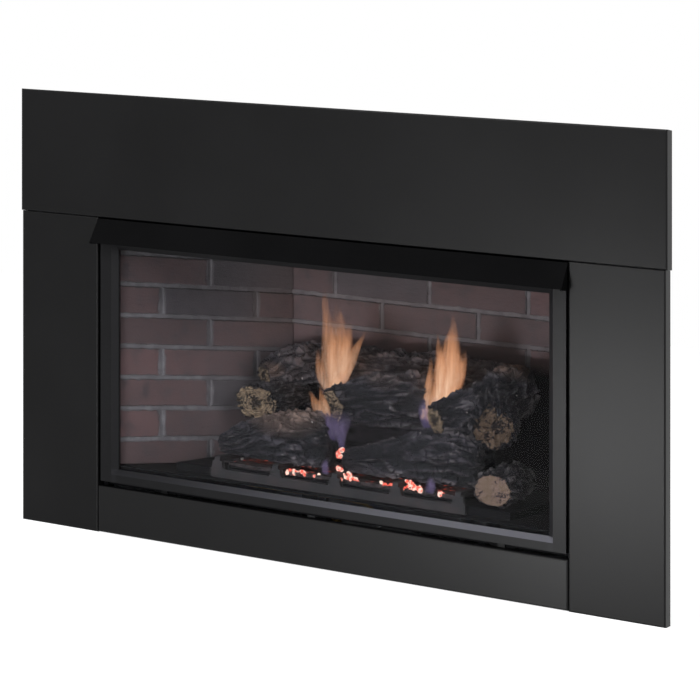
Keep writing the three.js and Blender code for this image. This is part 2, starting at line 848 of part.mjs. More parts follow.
// --------------------------------------------------------------------- burner
function platformPlan(inset) {
  const { half, front, shoulder, back, backHalf } = platform;
  return outline([
    [-half + inset, front + inset],
    [half - inset, front + inset],
    [half - inset, shoulder],
    [backHalf - inset, back - inset],
    [-backHalf + inset, back - inset],
    [-half + inset, shoulder],
  ]);
}

// Raised rest for the rear logs, bent from the platform's sheet.
function rearLogRest() {
  const foot = platformTop - 1;
  const { half, front, back, top } = logRest;
  const bent = folded(
    [
      [front, foot],
      [front, top],
      [back, top],
      [back, foot],
    ],
    -sheet,
  );
  return drawnAcross(bent, -half, half);
}

function burnerPlatform() {
  const low = floorTop + gap;
  return cut(
    join(raised(platformPlan(0), low, platformTop), rearLogRest()),
    raised(platformPlan(sheet), low - over, platformTop - sheet),
    round("z", venturi.radius + 0.8, low, platformTop + over, [venturi.x, venturi.y, 0], 20),
    round("z", pilot.hole, low, platformTop + over, [pilotX, pilot.y, 0], 12),
  );
}

function burnerPan() {
  const low = platformTop + gap;
  const { half, front, back } = pan;
  const rim = rectangle(-half, half, front, back);
  return cut(
    raised(rim, low, panTop),
    box(-half + sheet, half - sheet, front + sheet, back - sheet, low + sheet, panTop + over),
    round("z", venturi.bore, low - over, low + over, [venturi.x, venturi.y, 0], 20),
  );
}

// Ceramic ember slab: a lumpy top from a few sine waves, cut through by flame slots.
function emberBed() {
  const { half, front, back } = pan;
  const low = panTop + gap;
  const { columns, rows } = bed;
  const points = [];
  const lift = (u, v) => {
    const wave = sin(u * 9.1 + 1.3) * cos(v * 7.3) + 0.6 * sin(u * 21 + v * 13) + 0.4 * cos(u * 33 - v * 27);
    return bed.top - bed.relief * (0.5 + 0.25 * wave);
  };
  for (let j = 0; j <= rows; j++) {
    for (let i = 0; i <= columns; i++) {
      const [u, v] = [i / columns, j / rows];
      const x = -half + 1 + u * (2 * half - 2);
      const y = front + 1 + v * (back - front - 2);
      points.push([x, y, lift(6 * u, 3 * v)], [x, y, low]);
    }
  }
  const at = (i, j, under) => 2 * (j * (columns + 1) + i) + under;
  const faces = [];
  const quad = (a, b, c, d) => faces.push(a, b, c, a, c, d);
  for (let j = 0; j < rows; j++) {
    for (let i = 0; i < columns; i++) {
      quad(at(i, j, 0), at(i + 1, j, 0), at(i + 1, j + 1, 0), at(i, j + 1, 0));
    }
  }
  const rim = [];
  for (let i = 0; i < columns; i++) rim.push([i, 0]);
  for (let j = 0; j < rows; j++) rim.push([columns, j]);
  for (let i = columns; i > 0; i--) rim.push([i, rows]);
  for (let j = rows; j > 0; j--) rim.push([0, j]);
  points.push([0, (front + back) / 2, low]);
  const middle = points.length - 1;
  rim.forEach(([i, j], k) => {
    const [p, q] = rim[(k + 1) % rim.length];
    quad(at(i, j, 1), at(p, q, 1), at(p, q, 0), at(i, j, 0));
    faces.push(at(p, q, 1), at(i, j, 1), middle);
  });
  const used = new Set(faces);
  const order = points.map((_, k) => k).filter((k) => used.has(k));
  const slot = new Map(order.map((k, n) => [k, n]));
  const geometry = new THREE.BufferGeometry();
  const flat = order.flatMap((k) => points[k]);
  geometry.setAttribute("position", new THREE.Float32BufferAttribute(flat, 3));
  geometry.setIndex(faces.map((k) => slot.get(k)));
  const cuts = [];
  for (const y of bed.slotRows) {
    for (let k = -1; k <= 2; k++) {
      const x = (k - 0.5) * grate.pitch;
      const [a, b] = [x - bed.slot / 2, x + bed.slot / 2];
      cuts.push(box(a, b, y - bed.slotWidth / 2, y + bed.slotWidth / 2, low - over, bed.top + over));
    }
  }
  return cut(solid(geometry), ...cuts);
}

addPiece("burner_platform", burnerPlatform(), heatBlack);
addPiece("burner_pan", burnerPan(), heatBlack);
addPiece("ember_bed", emberBed(), ember);

// Grate: five bent bars on a front rail, each with a foot at the rear.
function grateBar(x, width) {
  const { front, thick, top, back } = grate;
  const low = floorTop + gap;
  const foot = platformTop + gap;
  const shape = new THREE.Shape();
  shape.moveTo(front, low);
  shape.lineTo(front, top - 6);
  shape.quadraticCurveTo(front, top, front + 6, top);
  shape.lineTo(back - 6, top);
  shape.quadraticCurveTo(back, top, back, top - 6);
  shape.lineTo(back, foot);
  shape.lineTo(back - thick, foot);
  shape.lineTo(back - thick, top - thick);
  shape.lineTo(front + thick, top - thick);
  shape.lineTo(front + thick, low);
  return drawnAcross(shape, x - width / 2, x + width / 2);
}

// A post widens from the bar to the rail with a small radius on each side.
function gratePost(x) {
  const low = floorTop + gap + grate.rail - 1;
  const { half: wide, rise, shoulder } = gratePostFoot;
  const slim = grate.bar - 1;
  const shape = new THREE.Shape();
  shape.moveTo(x - wide, low);
  shape.lineTo(x + wide, low);
  shape.quadraticCurveTo(x + slim, low + shoulder, x + slim, low + rise);
  shape.lineTo(x + slim, grate.top - 8);
  shape.lineTo(x - slim, grate.top - 8);
  shape.lineTo(x - slim, low + rise);
  shape.quadraticCurveTo(x - slim, low + shoulder, x - wide, low);
  return drawnBack(shape, grate.front, grate.front + grate.thick);
}

function fireGrate() {
  const { front, thick, pitch, bar, rail } = grate;
  const low = floorTop + gap;
  const parts = [box(-grateHalf, grateHalf, front, front + thick, low, low + rail)];
  for (let k = -2; k <= 2; k++) {
    const x = k * pitch;
    parts.push(grateBar(x, bar), gratePost(x));
  }
  return join(...parts);
}
addPiece("fire_grate", fireGrate(), heatBlack);

// ----------------------------------------------------------------------- logs
// A log is a loft along a curve; its section swells and is scored by bark ridges.
// stations: [x, y, z, radius]; grow adds a clearance all round.
function logBody({ stations, seed, flat = 1, rings = 10, sides = 12 }, grow = 0) {
  const curve = new THREE.CatmullRomCurve3(stations.map(([x, y, z]) => new THREE.Vector3(x, y, z)));
  const radiusAt = (t) => {
    const s = t * (stations.length - 1);
    const k = Math.min(Math.floor(s), stations.length - 2);
    const blend = (1 - cos((s - k) * PI)) / 2;
    return stations[k][3] * (1 - blend) + stations[k + 1][3] * blend;
  };
  const ridge = (turn, t) =>
    1 +
    0.06 * sin(2 * turn + seed) +
    0.045 * sin(3 * turn + 2.1 * seed + 3 * t) +
    0.03 * sin(5 * turn - seed + 7 * t) +
    0.025 * sin(11 * t * PI + turn + seed);
  const positions = [];
  const up = new THREE.Vector3(0, 0, 1);
  for (let i = 0; i <= rings; i++) {
    const t = i / rings;
    const centre = curve.getPoint(t);
    const ahead = curve.getTangent(t).normalize();
    const across = new THREE.Vector3().crossVectors(ahead, up).normalize();
    const lift = new THREE.Vector3().crossVectors(across, ahead);
    if (i === 0) centre.addScaledVector(ahead, -grow);
    if (i === rings) centre.addScaledVector(ahead, grow);
    for (let j = 0; j < sides; j++) {
      const turn = (2 * PI * j) / sides;
      const radius = radiusAt(t) * ridge(turn, t) + grow;
      const point = centre
        .clone()
        .addScaledVector(across, radius * cos(turn))
        .addScaledVector(lift, radius * flat * sin(turn));
      positions.push(point.x, point.y, point.z);
    }
  }
  const faces = [];
  for (let i = 0; i < rings; i++) {
    for (let j = 0; j < sides; j++) {
      const next = (j + 1) % sides;
      const [a, b] = [i * sides + j, i * sides + next];
      const [c, d] = [a + sides, b + sides];
      faces.push(a, b, d, a, d, c);
    }
  }
  for (let j = 1; j < sides - 1; j++) {
    const end = rings * sides;
    faces.push(0, j + 1, j, end, end + j, end + j + 1);
  }
  const geometry = new THREE.BufferGeometry();
  geometry.setAttribute("position", new THREE.Float32BufferAttribute(positions, 3));
  geometry.setIndex(faces);
  return solid(geometry);
}

const logs = {
  log_rear: {
    parts: [
      {
        stations: [
          [-138, 304, 286, 44],
          [-50, 300, 288, 50],
          [60, 298, 290, 52],
          [160, 300, 292, 48],
          [236, 302, 297, 40],
        ],
        seed: 1.2,
      },
    ],
    floor: logRest.top,
  },
  log_front_left: {
    parts: [
      {
        stations: [
          [-226, 84, 167, 14],
          [-180, 86, 178, 27],
          [-120, 90, 191, 41],
          [-66, 98, 193, 45],
          [-32, 104, 191, 38],
        ],
        seed: 2.7,
      },
    ],
    floor: grate.top,
  },
  log_front_right: {
    parts: [
      {
        stations: [
          [-4, 96, 168, 16],
          [60, 98, 175, 27],
          [140, 104, 189, 41],
          [196, 110, 189, 40],
          [226, 114, 188, 32],
        ],
        seed: 4.1,
      },
    ],
    floor: grate.top,
  },
  log_round_end: {
    parts: [
      {
        stations: [
          [endLogX, 48, 159, 34],
          [endLogX - 3, 90, 160, 34],
          [endLogX - 7, 140, 162, 33],
          [endLogX - 15, 196, 166, 29],
        ],
        seed: 5.5,
        flat: 0.86,
      },
    ],
    floor: platformTop,
  },
  log_left_cross: {
    parts: [
      {
        stations: [
          [-214, 178, 232, 36],
          [-215, 225, 236, 36],
          [-212, 275, 240, 34],
          [-206, 330, 244, 30],
        ],
        seed: 0.4,
        flat: 0.8,
      },
    ],
  },
  log_centre: {
    parts: [
      {
        stations: [
          [-38, 120, 250, 27],
          [-28, 140, 254, 32],
          [8, 166, 262, 39],
          [72, 214, 268, 43],
          [130, 246, 276, 38],
        ],
        seed: 3.3,
      },
    ],
  },
  log_right_forked: {
    parts: [
      {
        stations: [
          [158, 94, 250, 22],
          [168, 112, 256, 29],
          [194, 132, 263, 36],
          [228, 182, 284, 42],
          [248, 226, 316, 36],
        ],
        seed: 6.2,
      },
      {
        stations: [
          [222, 176, 276, 34],
          [246, 126, 262, 38],
          [262, 86, 250, 35],
        ],
        seed: 7.4,
        rings: 7,
      },
    ],
  },
  log_upper_left: {
    parts: [
      {
        stations: [
          [-230, 236, 276, 18],
          [-218, 262, 284, 27],
          [-168, 302, 302, 31],
          [-122, 322, 314, 26],
        ],
        seed: 8.8,
      },
    ],
  },
};

// Each log is notched round the ones under it, so that it lies on them.
const laid = [];
for (const [name, { parts, floor }] of Object.entries(logs)) {
  let body = join(...parts.map((part) => logBody(part)));
  if (floor) body = cut(body, box(-mouthHalf, mouthHalf, 0, linerBack, 0, floor + gap));
  body = cut(body, ...laid);
  const pieces = body.decompose().sort((a, b) => b.volume() - a.volume());
  addPiece(name, pieces[0], bark);
  laid.push(...parts.map((part) => logBody(part, gap)));
}

// ---------------------------------------------------------------- pilot burner
const pilotSeat = platformTop + gap;
function pilotBracket() {
  const { y } = pilot;
  const x = pilotX;
  const bent = folded(
    [
      [y + pilotFoot.back, pilotSeat],
      [y - pilotFoot.front, pilotSeat],
      [y - pilotFoot.front, pilotSeat + pilotFoot.lip],
    ],
    -sheet,
  );
  return cut(
    drawnAcross(bent, x - pilotFoot.left, x + pilotFoot.right),
    round("z", pilot.hole, pilotSeat - over, pilotSeat + over, [x, y, 0], 12),
  );
}

function pilotHood() {
  const body = solid(
    turned([
      [0, 0],
      [6, 0],
      [6, 6],
      [4.2, 8],
      [4.2, 18],
      [7, 20],
      [7, 25],
      [0, 27],
    ]),
  );
  return cut(body, box(1, 12, -2, 2, 20.5, 24), box(-12, -1, -2, 2, 20.5, 24));
}

const pilotTop = pilotSeat + sheet + gap;
addPiece("pilot_bracket", pilotBracket(), galvanised);
addPiece("pilot_burner", pilotHood(), steel, [pilotX, pilot.y, pilotTop]);
addPiece(
  "thermopile",
  solid(
    turned([
      [0, 0],
      [3.8, 0],
      [3.8, 12],
      [3, 13],
      [3, 34],
      [0, 36],
    ]),
  ),
  steel,
  [pilotX - 12, pilot.y + 4, pilotTop],
);
addPiece(
  "spark_electrode",
  solid(
    turned([
      [0, 0],
      [2.4, 0],
      [2.4, 16],
      [0.9, 17],
      [0.9, 25],
      [0, 25],
    ]),
  ),
  whiteCeramic,
  [pilotX + 9, pilot.y + 5, pilotTop],
);

// ------------------------------------------------------- air and gas to the burner
function venturiTube() {
  const { low, radius, bore } = venturi;
  const seat = shellLow - gap;
  const body = solid(
    turned([
      [5, low],
      [radius, low],
      [radius, seat - 3],
      [radius + 6, seat - 3],
      [radius + 6, seat],
      [radius, seat],
      [radius, platformTop],
      [bore, platformTop],
      [bore - 2.5, low + 34],
      [bore, low + 22],
      [bore, low + 2],
      [5, low + 2],
      [5, low],
    ], 16),
  );
  const windows = [-1, 1].map((side) => {
    const [x0, x1] = side < 0 ? [-radius - 2, -5] : [5, radius + 2];
    return box(x0, x1, -6, 6, shutter.low + 3, shutter.low + shutter.height - 3);
  });
  return cut(body, ...windows);
}

function airShutter() {
  const inner = venturi.radius + gap;
  const outer = inner + shutter.wall;
  const { height, lever } = shutter;
  const sleeve = solid(
    turned([
      [inner, 0],
      [outer, 0],
      [outer, height],
      [inner, height],
      [inner, 0],
    ]),
  );
  const windows = [-1, 1].map((side) => {
    const [x0, x1] = side < 0 ? [-outer - 2, -5] : [5, outer + 2];
    return box(x0, x1, -7, 7, 3, height - 3);
  });
  const arm = box(-4, 4, -lever, -inner - 0.5, 0, sheet);
  const tab = box(-7, 7, -lever - sheet, -lever, 0, 14);
  return join(cut(sleeve, ...windows), arm, tab);
}

addPiece("venturi_tube", venturiTube(), castAluminium, [venturi.x, venturi.y, 0]);
const shutterPivot = new THREE.Group();
shutterPivot.position.set(venturi.x, venturi.y, shutter.low);
insert.add(shutterPivot);
addPiece("air_shutter", airShutter(), galvanised, [0, 0, 0], shutterPivot);

// ---------------------------------------------------------------- gas valve
function valveBody() {
  const { left, right, front, back, low, high } = valve;
  const corner = 8;
  const shape = new THREE.Shape();
  shape.moveTo(front + corner, low);
  shape.lineTo(back - corner, low);
  shape.quadraticCurveTo(back, low, back, low + corner);
  shape.lineTo(back, high - corner);
  shape.quadraticCurveTo(back, high, back - corner, high);
  shape.lineTo(front + corner, high);
  shape.quadraticCurveTo(front, high, front, high - corner);
  shape.lineTo(front, low + corner);
  shape.quadraticCurveTo(front, low, front + corner, low);
  const bossFront = front - 7;
  const port = [0, portY, controlLevel];
  return cut(
    join(
      drawnAcross(shape, left, right),
      round("y", 15, bossFront, front + 2, [controlKnobX, 0, controlLevel], 24),
      round("y", 12, bossFront, front + 2, [flameKnobX, 0, controlLevel], 24),
      round("x", 13, right - 1, right + portLength, port, 6),
      round("x", 10, left - portLength, left + 1, port, 6),
      round("z", pilotPort.radius, high - 1, high + pilotPort.rise, [pilotPort.x, pilotPort.y, 0], 6),
    ),
    round("y", 5, bossFront - over, front + 22, [controlKnobX, 0, controlLevel], 16),
  );
}
addPiece("gas_valve_body", valveBody(), castAluminium);

function valveCradle() {
  const { left, right, front, back, low } = valve;
  const bent = folded(
    [
      [front - 4, low - gap],
      [back + 4, low - gap],
      [back + 4, sheet + gap],
    ],
    -sheet,
  );
  const apron = folded(
    [
      [front - 4, low - gap],
      [front - 4, sheet + gap],
    ],
    sheet,
  );
  return join(
    drawnAcross(bent, left + 10, right - 10),
    drawnAcross(apron, left + 10, right - 10),
  );
}
addPiece("valve_cradle", valveCradle(), galvanised);

// Knob turned about the y axis: a skirt, a ribbed grip and a pointer, bored for its spindle.
function knob(radius, length, ribs, bore, boreDepth) {
  const body = turned(
    [
      [0, 0],
      [radius, 0],
      [radius, 3],
      [radius * 0.82, 4.5],
      [radius * 0.76, length - 1.5],
      [radius * 0.7, length],
      [0, length],
    ],
    16,
  );
  const parts = [solid(body)];
  for (let k = 0; k < ribs; k++) {
    const turn = (2 * PI * k) / ribs;
    const rib = new THREE.CylinderGeometry(1, 1.3, length - 6, 4);
    rib.rotateX(PI / 2).translate(radius * 0.78, 0, length / 2 + 1);
    parts.push(solid(rib.rotateZ(turn)));
  }
  parts.push(box(-1.5, 1.5, 0, radius * 0.68, length - 1, length + 1.2));
  return cut(join(...parts), round("z", bore, -over, boreDepth, [0, 0, 0], 12));
}

// Turns a solid built along +Z to face the room, along -Y.
function facingRoom(mesh) {
  mesh.rotation.x = PI / 2;
  return mesh;
}

const bossFace = valve.front - 7;
const spindleReach = 12;
const pushTravel = 4;
const controlPush = new THREE.Group();
controlPush.position.set(controlKnobX, 0, controlLevel);
insert.add(controlPush);
const spindle = join(
  round("y", 4.5, bossFace - pushTravel - spindleReach, bossFace + 20, [0, 0, 0], 16),
  round("y", 8, bossFace - pushTravel - gap - 1.5, bossFace - pushTravel - gap, [0, 0, 0], 24),
);
addPiece("control_spindle", spindle, brass, [0, 0, 0], controlPush);
const controlSeat = bossFace - pushTravel - 2 * gap - 1.5;
facingRoom(
  addPiece(
    "control_knob",
    knob(18, controlSeat - knobFront - 1.2, 8, 4.5 + gap, spindleReach + 1),
    blackPlastic,
    [0, controlSeat, 0],
    controlPush,
  ),
);
const flameSeat = bossFace - gap;
facingRoom(
  addPiece(
    "flame_height_knob",
    knob(13, flameSeat - knobFront - 4, 8, 2, 3),
    blackPlastic,
    [flameKnobX, flameSeat, controlLevel],
  ),
);

// --------------------------------------------------------- igniter and switch
const igniter = { radius: 9, neck: 8, nut: 12, bore: 6.3, button: 6, travel: 6 };
function controlPlate() {
  const bent = folded(
    [
      [plate.front + 32, sheet + gap],
      [plate.front, sheet + gap],
      [plate.front, plate.top],
    ],
    -sheet,
  );
  const [y0, y1] = [plate.front - over, plate.front + 6];
  return cut(
    drawnAcross(bent, plate.left, plate.right),
    round("y", igniter.neck + gap, y0, y1, [igniterX, 0, controlLevel], 20),
    box(switchX - 10.5, switchX + 10.5, y0, y1, controlLevel - 14.5, controlLevel + 14.5),
  );
}
addPiece("control_plate", controlPlate(), galvanised);

const { radius: igniterRadius, neck, nut, bore: igniterBore } = igniter;
const igniterShape = turned([
  [0, -44],
  [3, -44],
  [3, -38],
  [igniterRadius, -36],
  [igniterRadius, -sheet - gap],
  [neck, -sheet - gap],
  [neck, gap],
  [nut, gap],
  [nut, 5],
  [igniterBore, 6],
  [igniterBore, -20],
  [0, -20],
]);
facingRoom(
  addPiece("igniter_body", solid(igniterShape), blackPlastic, [igniterX, plate.front, controlLevel]),
);
const buttonShape = turned([
  [0, -13],
  [igniter.button, -13],
  [igniter.button, 12],
  [igniter.button - 1.5, 13.5],
  [0, 14],
]);
facingRoom(
  addPiece("igniter_button", solid(buttonShape), redPlastic, [igniterX, plate.front, controlLevel]),
);

function switchBody() {
  const [w, h] = [13, 17];
  const front = plate.front - gap;
  const bezel = box(-w, w, front - 3, front, -h, h);
  const tub = box(-10.2, 10.2, front - 1, front + 24, -14.2, 14.2);
  const well = box(-8.3, 8.3, front - over, front + 12, -12.3, 12.3);
  const terminals = [-8, 8].map((z) => box(-3, 3, front + 23, front + 31, z - 0.5, z + 0.5));
  return join(cut(join(bezel, tub), well), ...terminals);
}
addPiece("switch_body", switchBody(), blackPlastic, [switchX, 0, controlLevel]);

// Rocker: two faces that meet in a shallow V, lying tilted at off.
const rockerAxis = plate.front - 1;
const rockerTilt = (8 * PI) / 180;
function rocker() {
  const shape = outline([
    [-4.5, -11.2],
    [-2.4, 0],
    [-4.5, 11.2],
    [3, 11.2],
    [6, 4],
    [6, -4],
    [3, -11.2],
  ]);
  return drawnAcross(shape, -8, 8);
}
const rockerMesh = addPiece("burner_switch_rocker", rocker(), redPlastic, [
  switchX,
  rockerAxis,
  controlLevel,
]);
rockerMesh.rotation.x = rockerTilt;

// ------------------------------------------------------------------- gas lines
addPiece(
  "gas_inlet_pipe",
  join(
    barAlong(
      [
        [valve.right + portLength + gap, portY, controlLevel],
        [caseHalf + gasPipe.reach - gasPipe.nutLength / 2, portY, controlLevel],
      ],
      gasPipe.radius,
      6,
      12,
    ),
    round(
      "x",
      gasPipe.nut,
      caseHalf + gasPipe.reach - gasPipe.nutLength,
      caseHalf + gasPipe.reach,
      [0, portY, controlLevel],
      6,
    ),
  ),
  blackPaint,
);
// Supply tube with the orifice brazed to its end, under the venturi's mouth.
function burnerSupply() {
  const seat = venturi.low - gap;
  const place = [venturi.x, venturi.y, 0];
  const tube = barAlong(
    [
      [valve.left - portLength - gap, portY, controlLevel],
      [valve.left - 22, portY, controlLevel],
      [-44, portY + 22, controlLevel - 10],
      [-52, venturi.y - 40, 26],
      [venturi.x, venturi.y - 8, 24],
      [venturi.x, venturi.y, seat - 15],
    ],
    4.5,
    14,
  );
  return join(
    tube,
    round("z", 6, seat - 19, seat - 11, place, 16),
    round("z", 8, seat - 12, seat, place, 6),
    round("z", 4.6, seat - 1, seat + 8, place, 16),
  );
}
addPiece("burner_supply_tube", burnerSupply(), brass);
addPiece(
  "pilot_tube",
  barAlong(
    [
      [pilotPort.x, pilotPort.y, valve.high + pilotPort.rise + gap],
      [pilotPort.x, pilotPort.y, pilotRun.z - 15],
      [pilotPort.x - 20, pilotRun.y - 14, pilotRun.z - 4],
      [pilotPort.x - 80, pilotRun.y, pilotRun.z],
      [pilotX + 86, pilotRun.y, pilotRun.z],
      [pilotX + 18, pilot.y - 6, pilotRun.z - 2],
      [pilotX, pilot.y, pilotRun.z + 7],
      [pilotX, pilot.y, pilotTop - gap],
    ],
    2.4,
    30,
    6,
  ),
  brass,
);

// -------------------------------------------------------------- glass latches
// Lever on a pin through the face's tab: its nose stands under the frame's bottom rail.
function latchLever(side) {
  const nose = frameBottom - gap - latchAxisZ;
  const shape = new THREE.Shape();
  shape.moveTo(-7, -4);
  shape.quadraticCurveTo(-8, 8, -5, nose - 2);
  shape.quadraticCurveTo(-4, nose, -1, nose);
  shape.lineTo(1, nose);
  shape.quadraticCurveTo(5, nose, 6, nose - 3);
  shape.quadraticCurveTo(8, 6, 8, 0);
  shape.quadraticCurveTo(8, -8, 5, -12);
  shape.lineTo(5, -30);
  shape.quadraticCurveTo(5, -34, 0, -34);
  shape.quadraticCurveTo(-5, -34, -5, -30);
  shape.lineTo(-5, -10);
  const front = faceFront - gap - latchThick;
  const pinBack = faceBack + gap + 2;
  const parts = [
    drawnBack(shape, front, faceFront - gap),
    round("y", latchPin, front, pinBack - 1, [0, 0, 0], 16),
    round("y", latchPin + 3, faceBack + gap, pinBack, [0, 0, 0], 16),
  ];
  const lever = join(...parts);
  if (side > 0) return lever;
  return lever.mirror([1, 0, 0]);
}
for (const [name, side] of [
  ["left", -1],
  ["right", 1],
]) {
  const place = [side * latchPlace, 0, latchAxisZ];
  addPiece("glass_latch_" + name, latchLever(side), satinBlack, place);
}

export default insert;
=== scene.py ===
# Finishes, bricks, charred logs, embers and flames for the gas fireplace insert.
import json
import math
import random

import bmesh
import bpy
from mathutils import Matrix, Vector


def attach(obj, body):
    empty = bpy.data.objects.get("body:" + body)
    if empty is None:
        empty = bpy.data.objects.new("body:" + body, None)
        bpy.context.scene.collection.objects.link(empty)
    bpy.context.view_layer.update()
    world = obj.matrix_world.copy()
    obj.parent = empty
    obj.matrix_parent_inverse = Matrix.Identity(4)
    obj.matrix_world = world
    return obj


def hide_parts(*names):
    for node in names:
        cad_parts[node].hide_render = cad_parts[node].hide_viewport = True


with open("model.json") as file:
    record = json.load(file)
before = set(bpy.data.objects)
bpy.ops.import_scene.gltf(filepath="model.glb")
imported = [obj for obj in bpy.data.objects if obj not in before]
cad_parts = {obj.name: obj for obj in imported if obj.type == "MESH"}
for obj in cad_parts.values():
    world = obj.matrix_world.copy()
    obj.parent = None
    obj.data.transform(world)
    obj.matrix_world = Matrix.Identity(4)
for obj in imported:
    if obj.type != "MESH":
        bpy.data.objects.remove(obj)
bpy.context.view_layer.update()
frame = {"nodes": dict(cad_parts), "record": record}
nodes = frame["nodes"]
backSet = -0.2  # the surround's face lies this far in front of the frame's origin
print("frame loaded:", len(nodes), "nodes")


def clearSelection():
    if bpy.context.object and bpy.context.object.mode != "OBJECT":
        bpy.ops.object.mode_set(mode="OBJECT")
    bpy.ops.object.select_all(action="DESELECT")


def only(piece):
    clearSelection()
    piece.select_set(True)
    bpy.context.view_layer.objects.active = piece


def startEditing(piece):
    only(piece)
    bpy.ops.object.mode_set(mode="EDIT")


def selectWhere(piece, kind, test):
    # kind is VERT, EDGE or FACE; the piece is in edit mode
    bpy.ops.mesh.select_mode(type=kind)
    bpy.ops.mesh.select_all(action="DESELECT")
    shape = bmesh.from_edit_mesh(piece.data)
    for part in getattr(shape, kind.lower() + "s"):
        if test(part):
            part.select_set(True)
    bmesh.update_edit_mesh(piece.data)


def leaveEditing():
    bpy.ops.object.mode_set(mode="OBJECT")


def setUp(thing, values):
    for key, value in values.items():
        setattr(thing, key, value)


def modify(piece, kind, **values):
    only(piece)
    bpy.ops.object.modifier_add(type=kind)
    change = piece.modifiers[-1]
    setUp(change, values)
    bpy.ops.object.modifier_apply(modifier=change.name)


def settle(piece):
    only(piece)
    bpy.ops.object.transform_apply(location=True, rotation=True, scale=True)


def smooth(piece, angle):
    only(piece)
    bpy.ops.object.shade_smooth_by_angle(angle=math.radians(angle))


def joined(name, pieces):
    clearSelection()
    for piece in pieces:
        piece.select_set(True)
    whole = pieces[0]
    bpy.context.view_layer.objects.active = whole
    if len(pieces) > 1:
        bpy.ops.object.join()
    whole.name = name
    whole.data.name = name
    return whole


def newAttributes(piece, **kinds):
    # all are made before any is filled, because making one moves the others
    for name, kind in kinds.items():
        piece.data.attributes.new(name, kind, "POINT")
    return [piece.data.attributes[name].data for name in kinds]


def wear(piece, *finishes):
    piece.data.materials.clear()
    for material in finishes:
        piece.data.materials.append(material)


def local(x, y, z):
    # millimetres from the surround's face and the hearth
    return Vector((x / 1000, y / 1000 + backSet, z / 1000))


camera = {
    "place": (1.5236, -3.2160, 0.5923),
    "turn": 26.0,  # degrees round to the insert's right
    "lens": 109.0,
    "sensor": 36.0,
    "picture": 700.0,
    "horizon": 200.6,  # level of the eye in the picture, in pixels from the top
    "skew": 0.085,  # how much the picture's level lines drop to the right
    "clip": (0.05, 60.0),
}


def makeCamera(values):
    # The picture was skewed upright, so the camera hangs in a rig that skews it the same way.
    turn = math.radians(values["turn"])
    skew = values["skew"]
    level = Matrix.Rotation(turn, 4, "Z") @ Matrix.Rotation(math.pi / 2, 4, "X")
    rigTurn = math.atan2(2, -skew) / 2
    cameraTurn = math.atan2(2, skew) / 2
    stretch = (math.sqrt(4 + skew * skew) + skew) / 2
    bpy.ops.object.empty_add()
    rig = bpy.context.object
    rig.name = "cameraRig"
    rig.matrix_world = (
        Matrix.Translation(values["place"])
        @ level
        @ Matrix.Rotation(rigTurn, 4, "Z")
        @ Matrix.Diagonal((stretch, 1 / stretch, 1, 1))
    )
    bpy.ops.object.camera_add()
    eye = bpy.context.object
    eye.parent = rig
    eye.rotation_euler = (0, 0, -cameraTurn)
    eye.data.lens = values["lens"]
    eye.data.sensor_width = values["sensor"]
    half = values["picture"] / 2
    eye.data.shift_y = -(half - values["horizon"]) / values["picture"]
    eye.data.clip_start, eye.data.clip_end = values["clip"]
    bpy.context.scene.camera = eye


makeCamera(camera)
print("camera placed")


class Socket:
    # One output of a node; sums written on it add Math nodes.
    def __init__(self, board, link):
        self.board = board
        self.link = link

    def maths(self, operation, *values):
        return self.board.node("ShaderNodeMath", {"operation": operation}, dict(enumerate(values)))

    def __add__(self, other):
        return self.maths("ADD", self, other)

    def __radd__(self, other):
        return self.maths("ADD", other, self)

    def __sub__(self, other):
        return self.maths("SUBTRACT", self, other)

    def __rsub__(self, other):
        return self.maths("SUBTRACT", other, self)

    def __mul__(self, other):
        return self.maths("MULTIPLY", self, other)

    def __rmul__(self, other):
        return self.maths("MULTIPLY", other, self)

    def __truediv__(self, other):
        return self.maths("DIVIDE", self, other)

    def __pow__(self, other):
        return self.maths("POWER", self, other)

    def floor(self):
        return self.maths("FLOOR", self)

    def fraction(self):
        return self.maths("FRACT", self)

    def absolute(self):
        return self.maths("ABSOLUTE", self)

    def sine(self):
        return self.maths("SINE", self)

    def least(self, other):
        return self.maths("MINIMUM", self, other)

    def most(self, other):
        return self.maths("MAXIMUM", self, other)

    def between(self, low, high):
        # 0 below low, 1 above high, smooth in between
        settings = {"interpolation_type": "SMOOTHSTEP"}
        values = {"Value": self, "From Min": low, "From Max": high}
        return self.board.node("ShaderNodeMapRange", settings, values)


